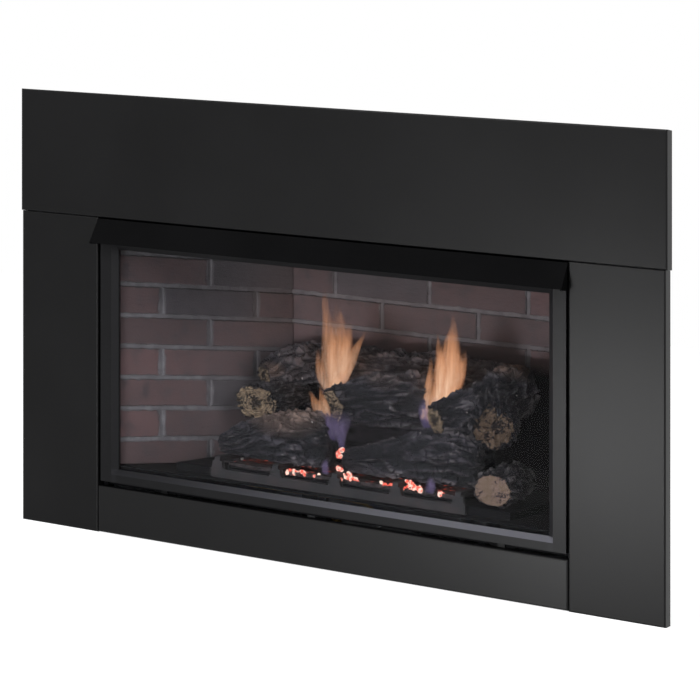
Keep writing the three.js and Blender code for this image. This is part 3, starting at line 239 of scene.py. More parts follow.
class NodeBoard:
    # The nodes of one material, or of the world.
    def __init__(self, tree):
        self.tree = tree

    def node(self, kind, settings=None, values=None, output=0):
        made = self.tree.nodes.new(kind)
        setUp(made, settings or {})
        for key, value in (values or {}).items():
            self.fill(made.inputs[key], value)
        return Socket(self, made.outputs[output])

    def fill(self, socket, value):
        if isinstance(value, Socket):
            self.tree.links.new(value.link, socket)
        elif socket.type == "RGBA":
            socket.default_value = (*value, 1)
        else:
            socket.default_value = value

    def place(self):
        return self.node("ShaderNodeTexCoord", output=3)

    def attribute(self, name, output=2):
        # output 2 is its number, 1 its vector
        return self.node("ShaderNodeAttribute", {"attribute_name": name}, None, output)

    def axis(self, vector, letter):
        return self.node("ShaderNodeSeparateXYZ", None, {"Vector": vector}, letter)

    def axes(self, vector):
        return [self.axis(vector, letter) for letter in "XYZ"]

    def noise(self, vector, scale, detail=3.0, roughness=0.55, distortion=0.0):
        values = {
            "Vector": vector, "Scale": scale, "Detail": detail, "Roughness": roughness,
            "Distortion": distortion,
        }
        return self.node("ShaderNodeTexNoise", None, values)

    def cells(self, vector, scale, feature="F1", output=0):
        values = {"Vector": vector, "Scale": scale}
        return self.node("ShaderNodeTexVoronoi", {"feature": feature}, values, output)

    def stretched(self, vector, scale):
        return self.node("ShaderNodeMapping", None, {"Vector": vector, "Scale": scale})

    def blend(self, factor, first, second):
        # first where the factor is 0, second where it is 1
        values = {0: factor, 6: first, 7: second}
        return self.node("ShaderNodeMix", {"data_type": "RGBA"}, values, 2)


class Finish(NodeBoard):
    # A material with one Principled shader; fixed values sit on its own sockets.
    def __init__(self, name, **fixed):
        self.material = bpy.data.materials.new(name)
        self.material.use_nodes = True
        super().__init__(self.material.node_tree)
        self.shader = self.tree.nodes["Principled BSDF"]
        for key, value in fixed.items():
            self.feed(key.replace("_", " "), value)

    def feed(self, name, value):
        self.fill(self.shader.inputs[name], value)

    def relief(self, height, distance, strength):
        # strength and distance are fixed; height varies
        values = {"Height": height, "Distance": distance, "Strength": strength}
        self.feed("Normal", self.node("ShaderNodeBump", None, values))


def grey(level):
    return (level, level, level)


def shaded(colour, share, added=0.0):
    return tuple(channel * share + added for channel in colour)


# grain and lift are the size and depth of the orange peel
paint = {
    "surround": {"colour": (0.0026, 0.0026, 0.0028), "roughness": 0.38, "specular": 0.11},
    "panel": {"colour": (0.0026, 0.0026, 0.0028), "roughness": 0.36, "specular": 0.145},
    "hood": {"colour": (0.0022, 0.0022, 0.0024), "roughness": 0.5, "specular": 0.015},
    "frame": {"colour": (0.0056, 0.0056, 0.0061), "roughness": 0.36, "specular": 0.075},
    "heat": {
        "colour": (0.0026, 0.0026, 0.0031), "roughness": 0.62, "specular": 0.04,
        "grain": 500.0, "lift": 0.0001,
    },
}
# ash on the burner platform, from one level to another
platformAsh = {"from": 0.160, "to": 0.185, "colour": (0.034, 0.032, 0.037)}
# The glazed frame's bevels get a painted highlight, brighter to the right: half and low are where
# its flat faces end, stile is how much the upright ones show it, and it fades in from left to right.
bevelHighlight = {
    "half": 0.392, "low": 0.0995, "wide": 0.009, "stile": 0.03,
    "faint": 0.08, "fade": (-0.35, 0.30), "colour": (0.085, 0.085, 0.098),
}


def paintedSheet(name, values, highlight=None, ashed=None):
    # Baked paint: fine orange peel, faint cloudiness and dust.
    finish = Finish(name, Specular_IOR_Level=values["specular"])
    place = finish.place()
    cloud = finish.noise(place, 3.5, 4.0)
    dust = finish.noise(place, 140.0, 3.0).between(0.56, 0.8)
    dark = values["colour"]
    body = finish.blend(cloud.between(0.35, 0.7), dark, shaded(dark, 1.3, 0.0005))
    body = finish.blend(dust * 0.25, body, shaded(dark, 2, 0.002))
    # painted highlight along the frame's inner bevels
    if highlight:
        x, z = finish.axis(place, "X"), finish.axis(place, "Z")
        half, low, wide = highlight["half"], highlight["low"], highlight["wide"]
        inside = (half - x.absolute()).between(-0.0004, 0.0004)
        rail = (z - low).between(-0.0003, 0.0003) * (low + wide - z).between(0.0, 0.0006)
        stile = (x.absolute() - half + wide).between(0.0, 0.0006)
        right = highlight["faint"] + x.between(*highlight["fade"]) * (1 - highlight["faint"])
        body = finish.blend(inside * (rail * right + stile * highlight["stile"]), body, highlight["colour"])
    if ashed:
        z = finish.axis(place, "Z")
        drift = finish.noise(finish.stretched(place, (1.0, 1.0, 2.5)), 60.0, 6.0, 0.7)
        settled = drift.between(0.30, 0.62) * z.between(ashed["from"], ashed["to"])
        body = finish.blend(settled, body, ashed["colour"])
    finish.feed("Base Color", body)
    finish.feed("Roughness", values["roughness"] + (cloud - 0.5) * 0.06 + dust * 0.05)
    peel = finish.noise(place, values.get("grain", 900.0), 2.0)
    finish.relief(peel, values.get("lift", 0.00004), 0.35)
    return finish.material


metal = {
    "galvanised": {
        "colour": (0.40, 0.41, 0.42), "dull": (0.26, 0.27, 0.28), "roughness": 0.36,
        "spangle": 95.0,  # grains to the metre
    },
    "steel": {"colour": (0.42, 0.42, 0.42), "dull": (0.28, 0.28, 0.285), "roughness": 0.34},
    "aluminium": {
        "colour": (0.45, 0.46, 0.47), "dull": (0.32, 0.33, 0.34), "roughness": 0.46,
        "grain": 380.0, "lift": 0.0002,  # cast skin
    },
    "brass": {"colour": (0.62, 0.43, 0.17), "dull": (0.36, 0.25, 0.11), "roughness": 0.33},
    "sooted": {"colour": (0.060, 0.057, 0.056), "dull": (0.018, 0.017, 0.018), "roughness": 0.5},
}
caseRim = -0.160  # the outer case is coloured near black in front of this


def zincSheet(name, values, rim=None):
    # rim is how far forward the sheet stays bare; in front of that it is coloured near black
    finish = Finish(name, Metallic=0.85)
    place = finish.place()
    flake = finish.cells(place, values["spangle"], output=1)
    tone = finish.axis(flake, "X")  # each spangle has its own
    cloud = finish.noise(place, 9.0, 3.0)
    body = finish.blend(tone * 0.55 + cloud * 0.3, values["dull"], values["colour"])
    if rim:
        front = (rim - finish.axis(place, "Y")).between(-0.001, 0.001)
        body = finish.blend(front, body, paint["heat"]["colour"])
    finish.feed("Base Color", body)
    finish.feed("Roughness", values["roughness"] + tone * 0.16 + cloud * 0.08)
    finish.relief(finish.noise(place, 420.0, 2.0), 0.00005, 0.3)
    return finish.material


def bareMetal(name, values):
    finish = Finish(name, Metallic=0.95)
    place = finish.place()
    stain = finish.noise(place, 26.0, 5.0)
    brushed = finish.noise(finish.stretched(place, (1.0, 1.0, 14.0)), 120.0, 3.0)
    finish.feed("Base Color", finish.blend(stain.between(0.38, 0.66), values["dull"], values["colour"]))
    finish.feed("Roughness", values["roughness"] + brushed * 0.14 + (1 - stain) * 0.1)
    skin = finish.noise(place, values.get("grain", 700.0), 3.0)
    finish.relief(skin, values.get("lift", 0.00004), 0.4)
    return finish.material


iron = {"colour": grey(0.011), "rust": (0.026, 0.021, 0.02), "lift": 0.0006}


def castIron(name, values):
    finish = Finish(name, Specular_IOR_Level=0.3)
    place = finish.place()
    sand = finish.noise(place, 520.0, 4.0, 0.65)
    scale = finish.noise(place, 38.0, 4.0)
    body = finish.blend(scale.between(0.42, 0.7), values["colour"], values["rust"])
    finish.feed("Base Color", body)
    finish.feed("Roughness", 0.62 + sand * 0.2)
    finish.relief(sand + scale * 0.8, values["lift"], 0.6)
    return finish.material


rope = {
    "yarn": (0.34, 0.33, 0.3), "between": (0.16, 0.155, 0.14), "fluff": (0.12, 0.11, 0.1),
    "strands": 900.0, "lift": 0.0006,
}


def ropeBraid(name, values):
    finish = Finish(name, Roughness=0.95)
    place = finish.place()
    x, y, z = finish.axes(place)
    strands = values["strands"]
    twist = ((x + z) * strands + y * (strands / 3)).sine() * ((x - z) * strands).sine()
    fluff = finish.noise(place, 600.0, 3.0)
    body = finish.blend(twist.between(-0.4, 0.5), values["between"], values["yarn"])
    finish.feed("Base Color", finish.blend(fluff * 0.4, body, values["fluff"]))
    finish.relief(twist + fluff, values["lift"], 0.8)
    return finish.material


plastic = {
    "black": {"colour": (0.014, 0.014, 0.016), "roughness": 0.42},
    "red": {"colour": (0.32, 0.018, 0.014), "roughness": 0.28},
}


def mouldedPlastic(name, values):
    finish = Finish(name, Specular_IOR_Level=0.45)
    place = finish.place()
    cloud = finish.noise(place, 30.0, 3.0)
    body = finish.blend(cloud, values["colour"], shaded(values["colour"], 0.75))
    finish.feed("Base Color", body)
    finish.feed("Roughness", values["roughness"] + cloud * 0.12)
    finish.relief(finish.noise(place, 1400.0, 2.0), 0.00006, 0.5)
    return finish.material


ceramic = {"colour": (0.62, 0.6, 0.54), "soot": (0.3, 0.27, 0.23)}


def glazedWhite(name, values):
    finish = Finish(name, Coat_Weight=0.6, Coat_Roughness=0.08)
    place = finish.place()
    soot = finish.noise(place, 160.0, 4.0)
    body = finish.blend(soot.between(0.5, 0.75), values["colour"], values["soot"])
    finish.feed("Base Color", body)
    finish.feed("Roughness", 0.25 + soot * 0.25)
    finish.relief(soot, 0.00005, 0.4)
    return finish.material


# mirror is its share of the reflection, haze the reflection's roughness
glass = {"mirror": 0.08, "tint": (0.928, 0.927, 0.953), "haze": 0.02}


def fireGlass(name, values):
    # Clear: what is behind it shows through, with a weak reflection on top.
    finish = Finish(name)
    place = finish.place()
    smear = finish.noise(finish.stretched(place, (1.0, 1.0, 0.35)), 9.0, 4.0)
    glossy = {"Color": grey(1.0), "Roughness": values["haze"]}
    gloss = finish.node("ShaderNodeBsdfGlossy", None, glossy)
    clear = finish.node("ShaderNodeBsdfTransparent", None, {"Color": values["tint"]})
    edge = finish.node("ShaderNodeFresnel", None, {"IOR": 1.5})
    amount = edge * values["mirror"] * (0.9 + smear * 0.2)
    both = finish.node("ShaderNodeMixShader", None, {0: amount, 1: clear, 2: gloss})
    finish.fill(finish.tree.nodes["Material Output"].inputs["Surface"], both)
    finish.tree.nodes.remove(finish.shader)
    return finish.material


# The same figures as the liner's relief: courses, bricks and where their joints fall.
bricks = {
    "course": 0.0525,
    "datum": 0.104,
    "sideBrick": 0.208,
    "sideJoint": 0.196,
    "backBrick": 0.184,
    "backJoint": 0.020,
    "joint": 0.0045,  # half the width of a joint
    "wobble": 0.0105,  # how ragged the joints' edges are
    "upright": {-1: 1.75, 0: 1.1, 1: 1.5},  # how much wider each wall's upright joints are
    "sideFront": (0.395, -0.173),  # where the right liner's face starts
    "sideBack": (0.248, 0.183),
    "red": (0.150, 0.095, 0.089),
    "brown": (0.106, 0.076, 0.072),
    "dark": (0.074, 0.075, 0.078),
    "mortar": (0.225, 0.220, 0.218),
    "sootShadeTop": 0.335,  # the rear wall is black below this, with soot and painted shade behind the logs
    "sootShadeColour": (0.0035, 0.0035, 0.0044),
    "topShade": {-1: 0.42, 0: 0.0, 1: 0.3},  # painted shade: how much each wall darkens towards its top
    # dust is the paler colour of painted light from the flames
    "dust": (0.25, 0.215, 0.21),
    "firelitShare": {-1: 0.34, 0: 0.24, 1: 0.12},  # how much of the painted firelight each wall gets
    # course and place of each brick that was fired grey
    "greyBricks": {-1: ((5, -1), (6, 0), (2, 0)), 0: ((6, -1),), 1: ()},
}


def brickwork(name, values, side):
    # side is -1 left, 0 rear, 1 right; along runs level on the wall's face
    finish = Finish(name, Specular_IOR_Level=0.12)
    place = finish.place()
    x, y, z = finish.axes(place)
    if side == 0:
        along = x
        brick, joint = values["backBrick"], values["backJoint"]
        # soot and painted shade on the rear wall behind the logs
        soot = (values["sootShadeTop"] - z).between(-0.012, 0.02)
    else:
        startX, startY = values["sideFront"]
        endX, endY = values["sideBack"]
        length = math.hypot(endX - startX, endY - startY)
        runX, runY = (endX - startX) / length, (endY - startY) / length
        along = (x * side - startX) * runX + (y - startY) * runY
        brick, joint = values["sideBrick"], values["sideJoint"]
        # soot and painted shade in the side walls' corners behind the logs
        soot = (values["sootShadeTop"] - z).between(0.0, 0.05) * y.between(0.02, 0.16) * 0.75
    wobble = (finish.noise(place, 110.0, 5.0, 0.68) - 0.5) * values["wobble"]
    level = (z - values["datum"]) / values["course"]
    row = level.floor()
    odd = (row / 2.0).fraction() * 2.0
    column = (along - joint) / brick - odd * 0.5
    bed = ((level + 0.5).fraction() - 0.5).absolute() * values["course"]
    head = ((column + 0.5).fraction() - 0.5).absolute() * (brick / values["upright"][side])
    joints = (values["joint"] - bed.least(head) + wobble).between(-0.0007, 0.0011)
    pick = finish.node("ShaderNodeCombineXYZ", None, {"X": column.floor(), "Y": row, "Z": float(side)})
    chance = finish.axis(finish.node("ShaderNodeTexWhiteNoise", None, {"Vector": pick}, 1), "X")
    mottle = finish.noise(place, 40.0, 6.0, 0.7)
    fine = finish.noise(place, 330.0, 4.0, 0.7)
    drag = finish.noise(finish.stretched(place, (0.22, 0.22, 1.0)), 210.0, 4.0, 0.65)
    fired = finish.blend(chance.between(0.2, 0.9), values["red"], values["brown"])
    for greyRow, greyColumn in values["greyBricks"][side]:
        off = (row - greyRow).absolute() + (column.floor() - greyColumn).absolute()
        fired = finish.blend((0.5 - off).between(-0.1, 0.1) * 0.85, fired, values["dark"])
    fired = finish.blend(mottle.between(0.46, 0.72) * 0.75, fired, shaded(values["dark"], 0.62))
    fired = finish.blend(drag.between(0.52, 0.75) * 0.5, fired, shaded(values["brown"], 0.5))
    fired = finish.blend(fine.between(0.58, 0.8) * 0.3, fired, values["mortar"])
    mortar = finish.blend(mottle.between(0.3, 0.7), values["mortar"], shaded(values["mortar"], 0.5))
    body = finish.blend(joints, fired, mortar)
    # painted shade darkening the walls towards their tops
    topShade = z.between(0.22, 0.52) * values["topShade"][side]
    body = finish.blend(topShade, body, grey(0.02))
    # painted light from the flames, paler low on the rear wall and towards the back of the others
    reach = (0.50 - z).between(-0.02, 0.12) if side == 0 else y.between(-0.10, 0.16)
    body = finish.blend(reach * values["firelitShare"][side], body, values["dust"])
    finish.feed("Base Color", finish.blend(soot * 0.97, body, values["sootShadeColour"]))
    finish.feed("Roughness", 0.82 + fine * 0.15)
    finish.relief(mottle * 0.6 + drag * 0.5 + fine * 0.4 - joints * 0.8, 0.0022, 0.8)
    return finish.material


log = {
    "char": (0.0070, 0.0069, 0.0086),
    "bark": (0.038, 0.0355, 0.0405),
    "ridge": (0.136, 0.122, 0.121),
    "warm": (0.20, 0.140, 0.105),
    "tan": (0.47, 0.365, 0.225),
    "tanDark": (0.12, 0.085, 0.055),
    "tanBurnt": (0.235, 0.160, 0.105),
    "pink": (0.190, 0.130, 0.100),
    "ash": (0.105, 0.098, 0.102),  # paler grey on the logs at the back, painted light against the hood's shade
    "speck": (0.70, 0.66, 0.60),
}


def charredBark(name, values):
    # "grain" runs along each log however it bends, "ridge" is how far the bark stands out
    finish = Finish(name, Specular_IOR_Level=0.25)
    grain = finish.attribute("grain", 1)
    ridge = finish.attribute("ridge")
    warm = finish.attribute("warm")
    furrow = finish.noise(finish.stretched(grain, (0.16, 1.0, 1.0)), 170.0, 5.0, 0.65, 0.4)
    waver = finish.node("ShaderNodeTexNoise", None, {"Vector": grain, "Scale": 110.0}, 1)
    route = {0: finish.stretched(grain, (0.45, 1.0, 1.0)), 1: finish.stretched(waver, grey(0.009))}
    bent = finish.node("ShaderNodeVectorMath", {"operation": "ADD"}, route)
    crack = finish.cells(bent, 105.0, "DISTANCE_TO_EDGE").between(0.01, 0.13)
    burn = finish.noise(grain, 15.0, 5.0, 0.6)
    fine = finish.noise(finish.stretched(grain, (0.3, 1.0, 1.0)), 800.0, 3.0, 0.7)
    proud = (ridge + (furrow - 0.5) * 0.8).between(0.40, 0.74) * (0.25 + crack * 0.75)
    body = finish.blend(proud, values["char"], values["bark"])
    # pale ash on the bark's crests, partly a painted highlight
    crest = (ridge + (fine - 0.5) * 0.6).between(0.56, 0.80) * burn.between(0.42, 0.60) * crack
    body = finish.blend(crest * 0.8, body, values["ridge"])
    # painted light: the logs turn paler towards the back
    back = finish.axis(finish.place(), "Y").between(-0.10, 0.03)
    body = finish.blend(back * (0.18 + proud * 0.40), body, values["ash"])
    # painted light: brown, brighter patches where light falls on the bark
    body = finish.blend(warm * (0.35 + proud * 0.65), body, values["warm"])
    speck = finish.noise(grain, 300.0, 1.0, 0.4).between(0.77, 0.80)
    finish.feed("Base Color", finish.blend(speck, body, values["speck"]))
    finish.feed("Roughness", 0.62 + fine * 0.3)
    finish.relief(furrow + crack * 0.55 + fine * 0.35, 0.0042, 1.0)
    return finish.material


# wood: fresh colour, pits: how many, hollow: how far the heart is burnt out, lift: depth of the
# relief, rings: how clearly they show
ends = {
    "pitted": {"wood": log["tan"], "pits": 0.115, "hollow": 0.008, "lift": 0.003, "rings": 0.5},
    "sawn": {"wood": log["pink"], "pits": 0.03, "hollow": 0.0, "lift": 0.0016, "rings": 0.16},
    "broken": {"wood": log["tanBurnt"], "pits": 0.11, "hollow": 0.004, "lift": 0.004, "rings": 0.2},
}


def cutWood(name, values):
    # Rings, pits and cracks on a cut end; the grain's y and z lie across it.
    finish = Finish(name, Specular_IOR_Level=0.2)
    grain = finish.attribute("grain", 1)
    hollow, pitting, clear = values["hollow"], values["pits"], values["rings"]
    y, z = finish.axis(grain, "Y"), finish.axis(grain, "Z")
    wander = finish.noise(grain, 75.0, 4.0, 0.6)
    far = (y * y + z * z) ** 0.5 + (wander - 0.5) * (0.010 + hollow * 1.6)
    rings = (far * 1300.0).sine().between(-0.7, 0.9)
    rough = finish.noise(grain, 260.0, 5.0, 0.7)
    patch = finish.noise(grain, 58.0, 3.0).between(0.40, 0.62)
    heart = (hollow - far).between(-0.003, 0.002)
    pits = (rough + (patch - 0.5) * 0.16).between(0.60 - pitting, 0.66 - pitting)
    body = finish.blend(rings * clear + patch * (0.85 - clear), log["tanDark"], values["wood"])
    body = finish.blend(pits.most(heart).least(1.0) * 0.92, body, log["char"])
    edge = (finish.attribute("rim") + (rough - 0.5) * 0.8).between(0.55, 0.8)
    finish.feed("Base Color", finish.blend(edge, body, log["char"]))
    finish.feed("Roughness", 0.8 + rough * 0.15)
    finish.relief(rough - pits * 0.6 + rings * clear * 0.4, values["lift"], 0.8)
    return finish.material


coal = {
    "ash": (0.05, 0.042, 0.04),
    "clinker": (0.014, 0.012, 0.012),
    "dying": (0.10, 0.012, 0.02),
    "glow": (1.0, 0.13, 0.075),
    "heat": (1.0, 0.74, 0.58),
    "slabGlow": 0.8,  # strength of the light in the slab's cracks
    "lumpGlow": 1.25,
}


def emberSlab(name, values):
    finish = Finish(name, Specular_IOR_Level=0.15, Emission_Strength=values["slabGlow"])
    place = finish.place()
    lumps = finish.cells(place, 95.0)
    rough = finish.noise(place, 190.0, 5.0, 0.7)
    finish.feed("Base Color", finish.blend(lumps.between(0.25, 0.7), values["clinker"], values["ash"]))
    finish.feed("Roughness", 0.85 + rough * 0.12)
    cracks = finish.noise(place, 60.0, 2.0).between(0.56, 0.66) * (1 - lumps.between(0.2, 0.55))
    finish.feed("Emission Color", finish.blend(cracks, grey(0.0), values["glow"]))
    finish.relief(rough + lumps, 0.003, 0.8)
    return finish.material


def glowingCoal(name, values):
    finish = Finish(name, Specular_IOR_Level=0.1, Emission_Strength=values["lumpGlow"])
    place = finish.place()
    heat = finish.noise(place, 120.0, 3.0, 0.6)
    crust = finish.noise(place, 260.0, 3.0, 0.7)
    finish.feed("Base Color", finish.blend(crust.between(0.4, 0.6), values["clinker"], values["ash"]))
    hot = finish.blend(heat.between(0.44, 0.58), values["glow"], values["heat"])
    finish.feed("Emission Color", finish.blend(crust.between(0.56, 0.68), hot, values["dying"]))
    finish.feed("Roughness", 0.8 + crust * 0.15)
    finish.relief(crust, 0.002, 0.8)
    return finish.material


# thickness is how solid each flame looks, ragged how much its edges waver
flame = {
    "edge": (0.52, 0.185, 0.075),
    "body": (0.86, 0.41, 0.20),
    "core": (1.0, 0.66, 0.43),
    "root": (0.30, 0.22, 0.34),
    "thickness": {"flameLeft": 0.56, "flameRight": 0.8},
    "ragged": 0.6,
}
gas = {
    "edge": (0.15, 0.115, 0.21),
    "body": (0.21, 0.165, 0.29),
    "core": (0.085, 0.07, 0.15),
    "root": (0.05, 0.04, 0.11),
    "thickness": 0.75,
    "ragged": 0.25,
}


def burningGas(name, values, thickness):
    # "up" runs from root to tip, "across" from edge to edge; streaks run upwards.
    finish = Finish(
        name, Base_Color=grey(0.0), Roughness=1.0, Specular_IOR_Level=0.0, Emission_Strength=1.0,
    )
    place = finish.place()
    up = finish.attribute("up")
    across = finish.attribute("across")
    streak = finish.noise(finish.stretched(place, (1.0, 1.0, 0.07)), 240.0, 3.0, 0.6, 0.3)
    lick = finish.noise(finish.stretched(place, (1.0, 1.0, 0.30)), 60.0, 4.0, 0.62, 1.0)
    rim = 1 - across.absolute() + (lick - 0.5) * values["ragged"]
    thick = rim.between(-0.05, 1.05)
    tip = (1 - up + (lick - 0.5) * values["ragged"] * 0.8).between(0.0, 0.5)
    foot = up.between(0.0, 0.10)
    inner = rim.between(0.1, 0.7) * (1.25 - up * 0.7).least(1.0)
    colour = finish.blend(inner, values["edge"], values["body"])
    brightest = rim.between(0.25, 0.9) * (1 - up).between(0.35, 0.95)
    core = brightest * (0.55 + streak.between(0.3, 0.62) * 0.45)
    colour = finish.blend(core, colour, values["core"])
    root = (1 - up).between(0.88, 1.0)
    finish.feed("Emission Color", finish.blend(root, colour, values["root"]))
    body = thick * tip * foot * (0.55 + streak.between(0.32, 0.66) * 0.45) * thickness
    finish.feed("Alpha", body.least(0.95))
    return finish.material


slotFinish = {
    "surround_black": paintedSheet("surroundBlack", paint["surround"]),
    "frame_black": paintedSheet("frameBlack", paint["frame"], highlight=bevelHighlight),
    "heat_black": paintedSheet("heatBlack", paint["heat"]),
    "galvanised": zincSheet("galvanised", metal["galvanised"]),
    "steel": bareMetal("steel", metal["steel"]),
    "cast_iron": castIron("castIron", iron),
    "cast_aluminium": bareMetal("castAluminium", metal["aluminium"]),
    "brass": bareMetal("brass", metal["brass"]),
    "ceramic_glass": fireGlass("ceramicGlass", glass),
    "rope_gasket": ropeBraid("ropeGasket", rope),
    "brick": brickwork("brickRear", bricks, 0),
    "charred_log": charredBark("charredBark", log),
    "ember": emberSlab("emberSlab", coal),
    "black_plastic": mouldedPlastic("blackPlastic", plastic["black"]),
    "red_plastic": mouldedPlastic("redPlastic", plastic["red"]),
    "white_ceramic": glazedWhite("whiteCeramic", ceramic),
}
cutFinish = {name: cutWood(name + "End", values) for name, values in ends.items()}
sootedSteel = bareMetal("sootedSteel", metal["sooted"])
hotCoal = glowingCoal("hotCoal", coal)
fireGas = {
    name: burningGas(name + "Gas", flame, thickness)
    for name, thickness in flame["thickness"].items()
}
blueGas = burningGas("blueGas", gas, gas["thickness"])
ownFinish = {
    "outer_case": zincSheet("caseZinc", metal["galvanised"], caseRim),
    "brick_liner_left": brickwork("brickLeft", bricks, -1),
    "brick_liner_right": brickwork("brickRight", bricks, 1),
    "hood": paintedSheet("hoodBlack", paint["hood"]),
    "access_panel": paintedSheet("panelBlack", paint["panel"]),
    "burner_platform": paintedSheet("platformBlack", paint["heat"], ashed=platformAsh),
    "surround_bracket_left": slotFinish["heat_black"],  # seen in the gap beside the glass frame
    "surround_bracket_right": slotFinish["heat_black"],
    "pilot_bracket": sootedSteel,
    "pilot_burner": sootedSteel,
    "thermopile": sootedSteel,
}
for part in frame["record"]["subparts"]:
    finish = ownFinish.get(part["node"], slotFinish[part["material_slot"]])
    wear(nodes[part["node"]], finish)
print("finishes made:", len(bpy.data.materials))


# Each path is (x, y, z, radius) from end to end, in millimetres; cuts lists the ends that show
# wood, floor is the level a log is cut flat at, flat squeezes it from above, and warm is a
# patch of painted light, brown and brighter where light falls on the bark: its place, reach and
# strength. A stub is a fork's second path.
logSet = {
    "log_rear": {
        "paths": [[
            (-138, 304, 286, 44), (-50, 300, 288, 50), (60, 298, 290, 52), (160, 300, 292, 48),
            (236, 302, 297, 40),
        ]],
        "floor": 234.3, "seed": 3, "cuts": (), "warm": (222, 288, 338, 42, 1.0),
    },
    "log_front_left": {
        "paths": [[
            (-226, 84, 167, 14), (-180, 86, 178, 27), (-120, 90, 191, 41), (-66, 98, 193, 45),
            (-32, 104, 191, 38),
        ]],
        "floor": 150.3, "seed": 5, "cuts": (), "warm": (-104, 84, 232, 80, 0.9),
    },
    "log_front_right": {
        "paths": [[
            (-4, 96, 168, 16), (60, 98, 175, 27), (140, 104, 189, 41), (196, 110, 189, 40),
            (226, 114, 188, 32),
        ]],
        "floor": 150.3, "seed": 8, "cuts": (),
    },
    "log_round_end": {
        "paths": [[
            (275, 48, 159, 30), (271, 90, 160, 32), (266, 140, 162, 32), (258, 196, 166, 29),
        ]],
        "floor": 128.4, "seed": 11, "cuts": (0,), "flat": 0.84,
        "wood": "sawn", "splinter": 0.0015, "capRelief": 0.12,
    },
    "log_left_cross": {
        "paths": [[
            (-212, 178, 232, 40), (-214, 225, 236, 38), (-212, 275, 240, 34), (-206, 330, 244, 30),
        ]],
        "seed": 14, "cuts": (0,), "flat": 0.74,
    },
    "log_centre": {
        "paths": [[
            (-38, 120, 250, 27), (-28, 140, 254, 32), (8, 166, 262, 39), (72, 214, 268, 43),
            (130, 246, 276, 38),
        ]],
        "seed": 17, "cuts": (0,), "warm": (40, 150, 306, 42, 0.3),
    },
    "log_right_forked": {
        "paths": [
            [
                (158, 94, 250, 22), (168, 112, 256, 29), (194, 132, 263, 36), (228, 182, 284, 42),
                (248, 226, 316, 36),
            ],
            [(222, 176, 276, 34), (246, 126, 262, 38), (262, 86, 250, 35)],
        ],
        "seed": 20, "cuts": (0,), "warm": (253, 208, 345, 50, 1.0),
        "stub": {"wood": "broken", "splinter": 0.030, "hollow": -0.0016, "capRelief": 0.9},
    },
    "log_upper_left": {
        "paths": [[
            (-230, 236, 276, 18), (-218, 262, 284, 27), (-168, 302, 302, 31), (-122, 322, 314, 26),
        ]],
        "seed": 23, "cuts": (0,), "warm": (-216, 232, 288, 30, 1.0),
    },
}
bark = {
    "sides": 120,
    "step": 0.0032,  # between rings of faces
    "insets": (0.07, 0.08, 0.09, 0.1, 0.1, 0.1, 0.1, 0.1),  # rings of faces on an end, in radii
    "endSlope": 0.5,  # faces that look this much along the log are its end
    "swell": 0.011,
    "plates": 0.008,
    "furrows": 0.009,
    "chips": 0.0034,
    "splinter": 0.005,  # how ragged a cut end is
    "endReach": 0.010,
    "capRelief": 0.45,  # how much of the bark's relief a cut end gets
    "capEdge": 0.95,  # where the end starts, in radii
    "longScale": (5, 1, 1),  # furrows and chips run along a log
    "plateScale": (3.2, 1, 1),
    "patchHeight": 1.8,  # how much sooner a patch of painted light ends upwards than along
}


def reliefTexture(name, kind, size, **values):
    texture = bpy.data.textures.new(name, kind)
    texture.noise_scale = size
    setUp(texture, values)
    return texture


swellTexture = reliefTexture("swell", "CLOUDS", 0.055)
plateTexture = reliefTexture("plates", "VORONOI", 0.017, weight_1=-1.0, weight_2=1.0)
furrowTexture = reliefTexture(
    "furrow", "MUSGRAVE", 0.010, musgrave_type="RIDGED_MULTIFRACTAL", octaves=3.0,
)
chipTexture = reliefTexture("chip", "CLOUDS", 0.004, noise_depth=3)
splinterTexture = reliefTexture("splinter", "CLOUDS", 0.013, noise_depth=2, contrast=1.6)


def logPath(points):
    path = bpy.data.curves.new("logPath", "CURVE")
    path.dimensions = "3D"
    path.twist_mode = "Z_UP"
    spline = path.splines.new("BEZIER")
    spline.bezier_points.add(len(points) - 1)
    middle = sum(point[3] for point in points) / len(points)
    for knot, (x, y, z, radius) in zip(spline.bezier_points, points):
        knot.co = local(x, y, z)
        knot.handle_left_type = "AUTO"
        knot.handle_right_type = "AUTO"
        knot.radius = radius / middle
    route = bpy.data.objects.new("logPath", path)
    bpy.context.scene.collection.objects.link(route)
    return route, middle / 1000, spline.calc_length()


def guide(place, scale=(1, 1, 1)):
    # an empty that places a texture
    bpy.ops.object.empty_add(location=place)
    bpy.context.object.scale = scale
    return bpy.context.object


def straightLimb(radius, length, hollow):
    # a log along x before its bark
    clearSelection()
    bpy.ops.mesh.primitive_cylinder_add(
        vertices=bark["sides"], radius=radius, depth=length, end_fill_type="NGON",
        location=(length / 2, 0, 0), rotation=(0, math.pi / 2, 0),
    )
    limb = bpy.context.object
    settle(limb)
    startEditing(limb)
    selectWhere(limb, "EDGE", lambda e: abs(e.verts[0].co.x - e.verts[1].co.x) > length / 2)
    bpy.ops.mesh.subdivide(number_cuts=max(6, int(length / bark["step"])))
    selectWhere(limb, "FACE", lambda f: len(f.verts) > 4)
    for inset in bark["insets"]:
        bpy.ops.mesh.inset(thickness=radius * inset, depth=hollow)
    bpy.ops.mesh.poke()
    leaveEditing()
    return limb


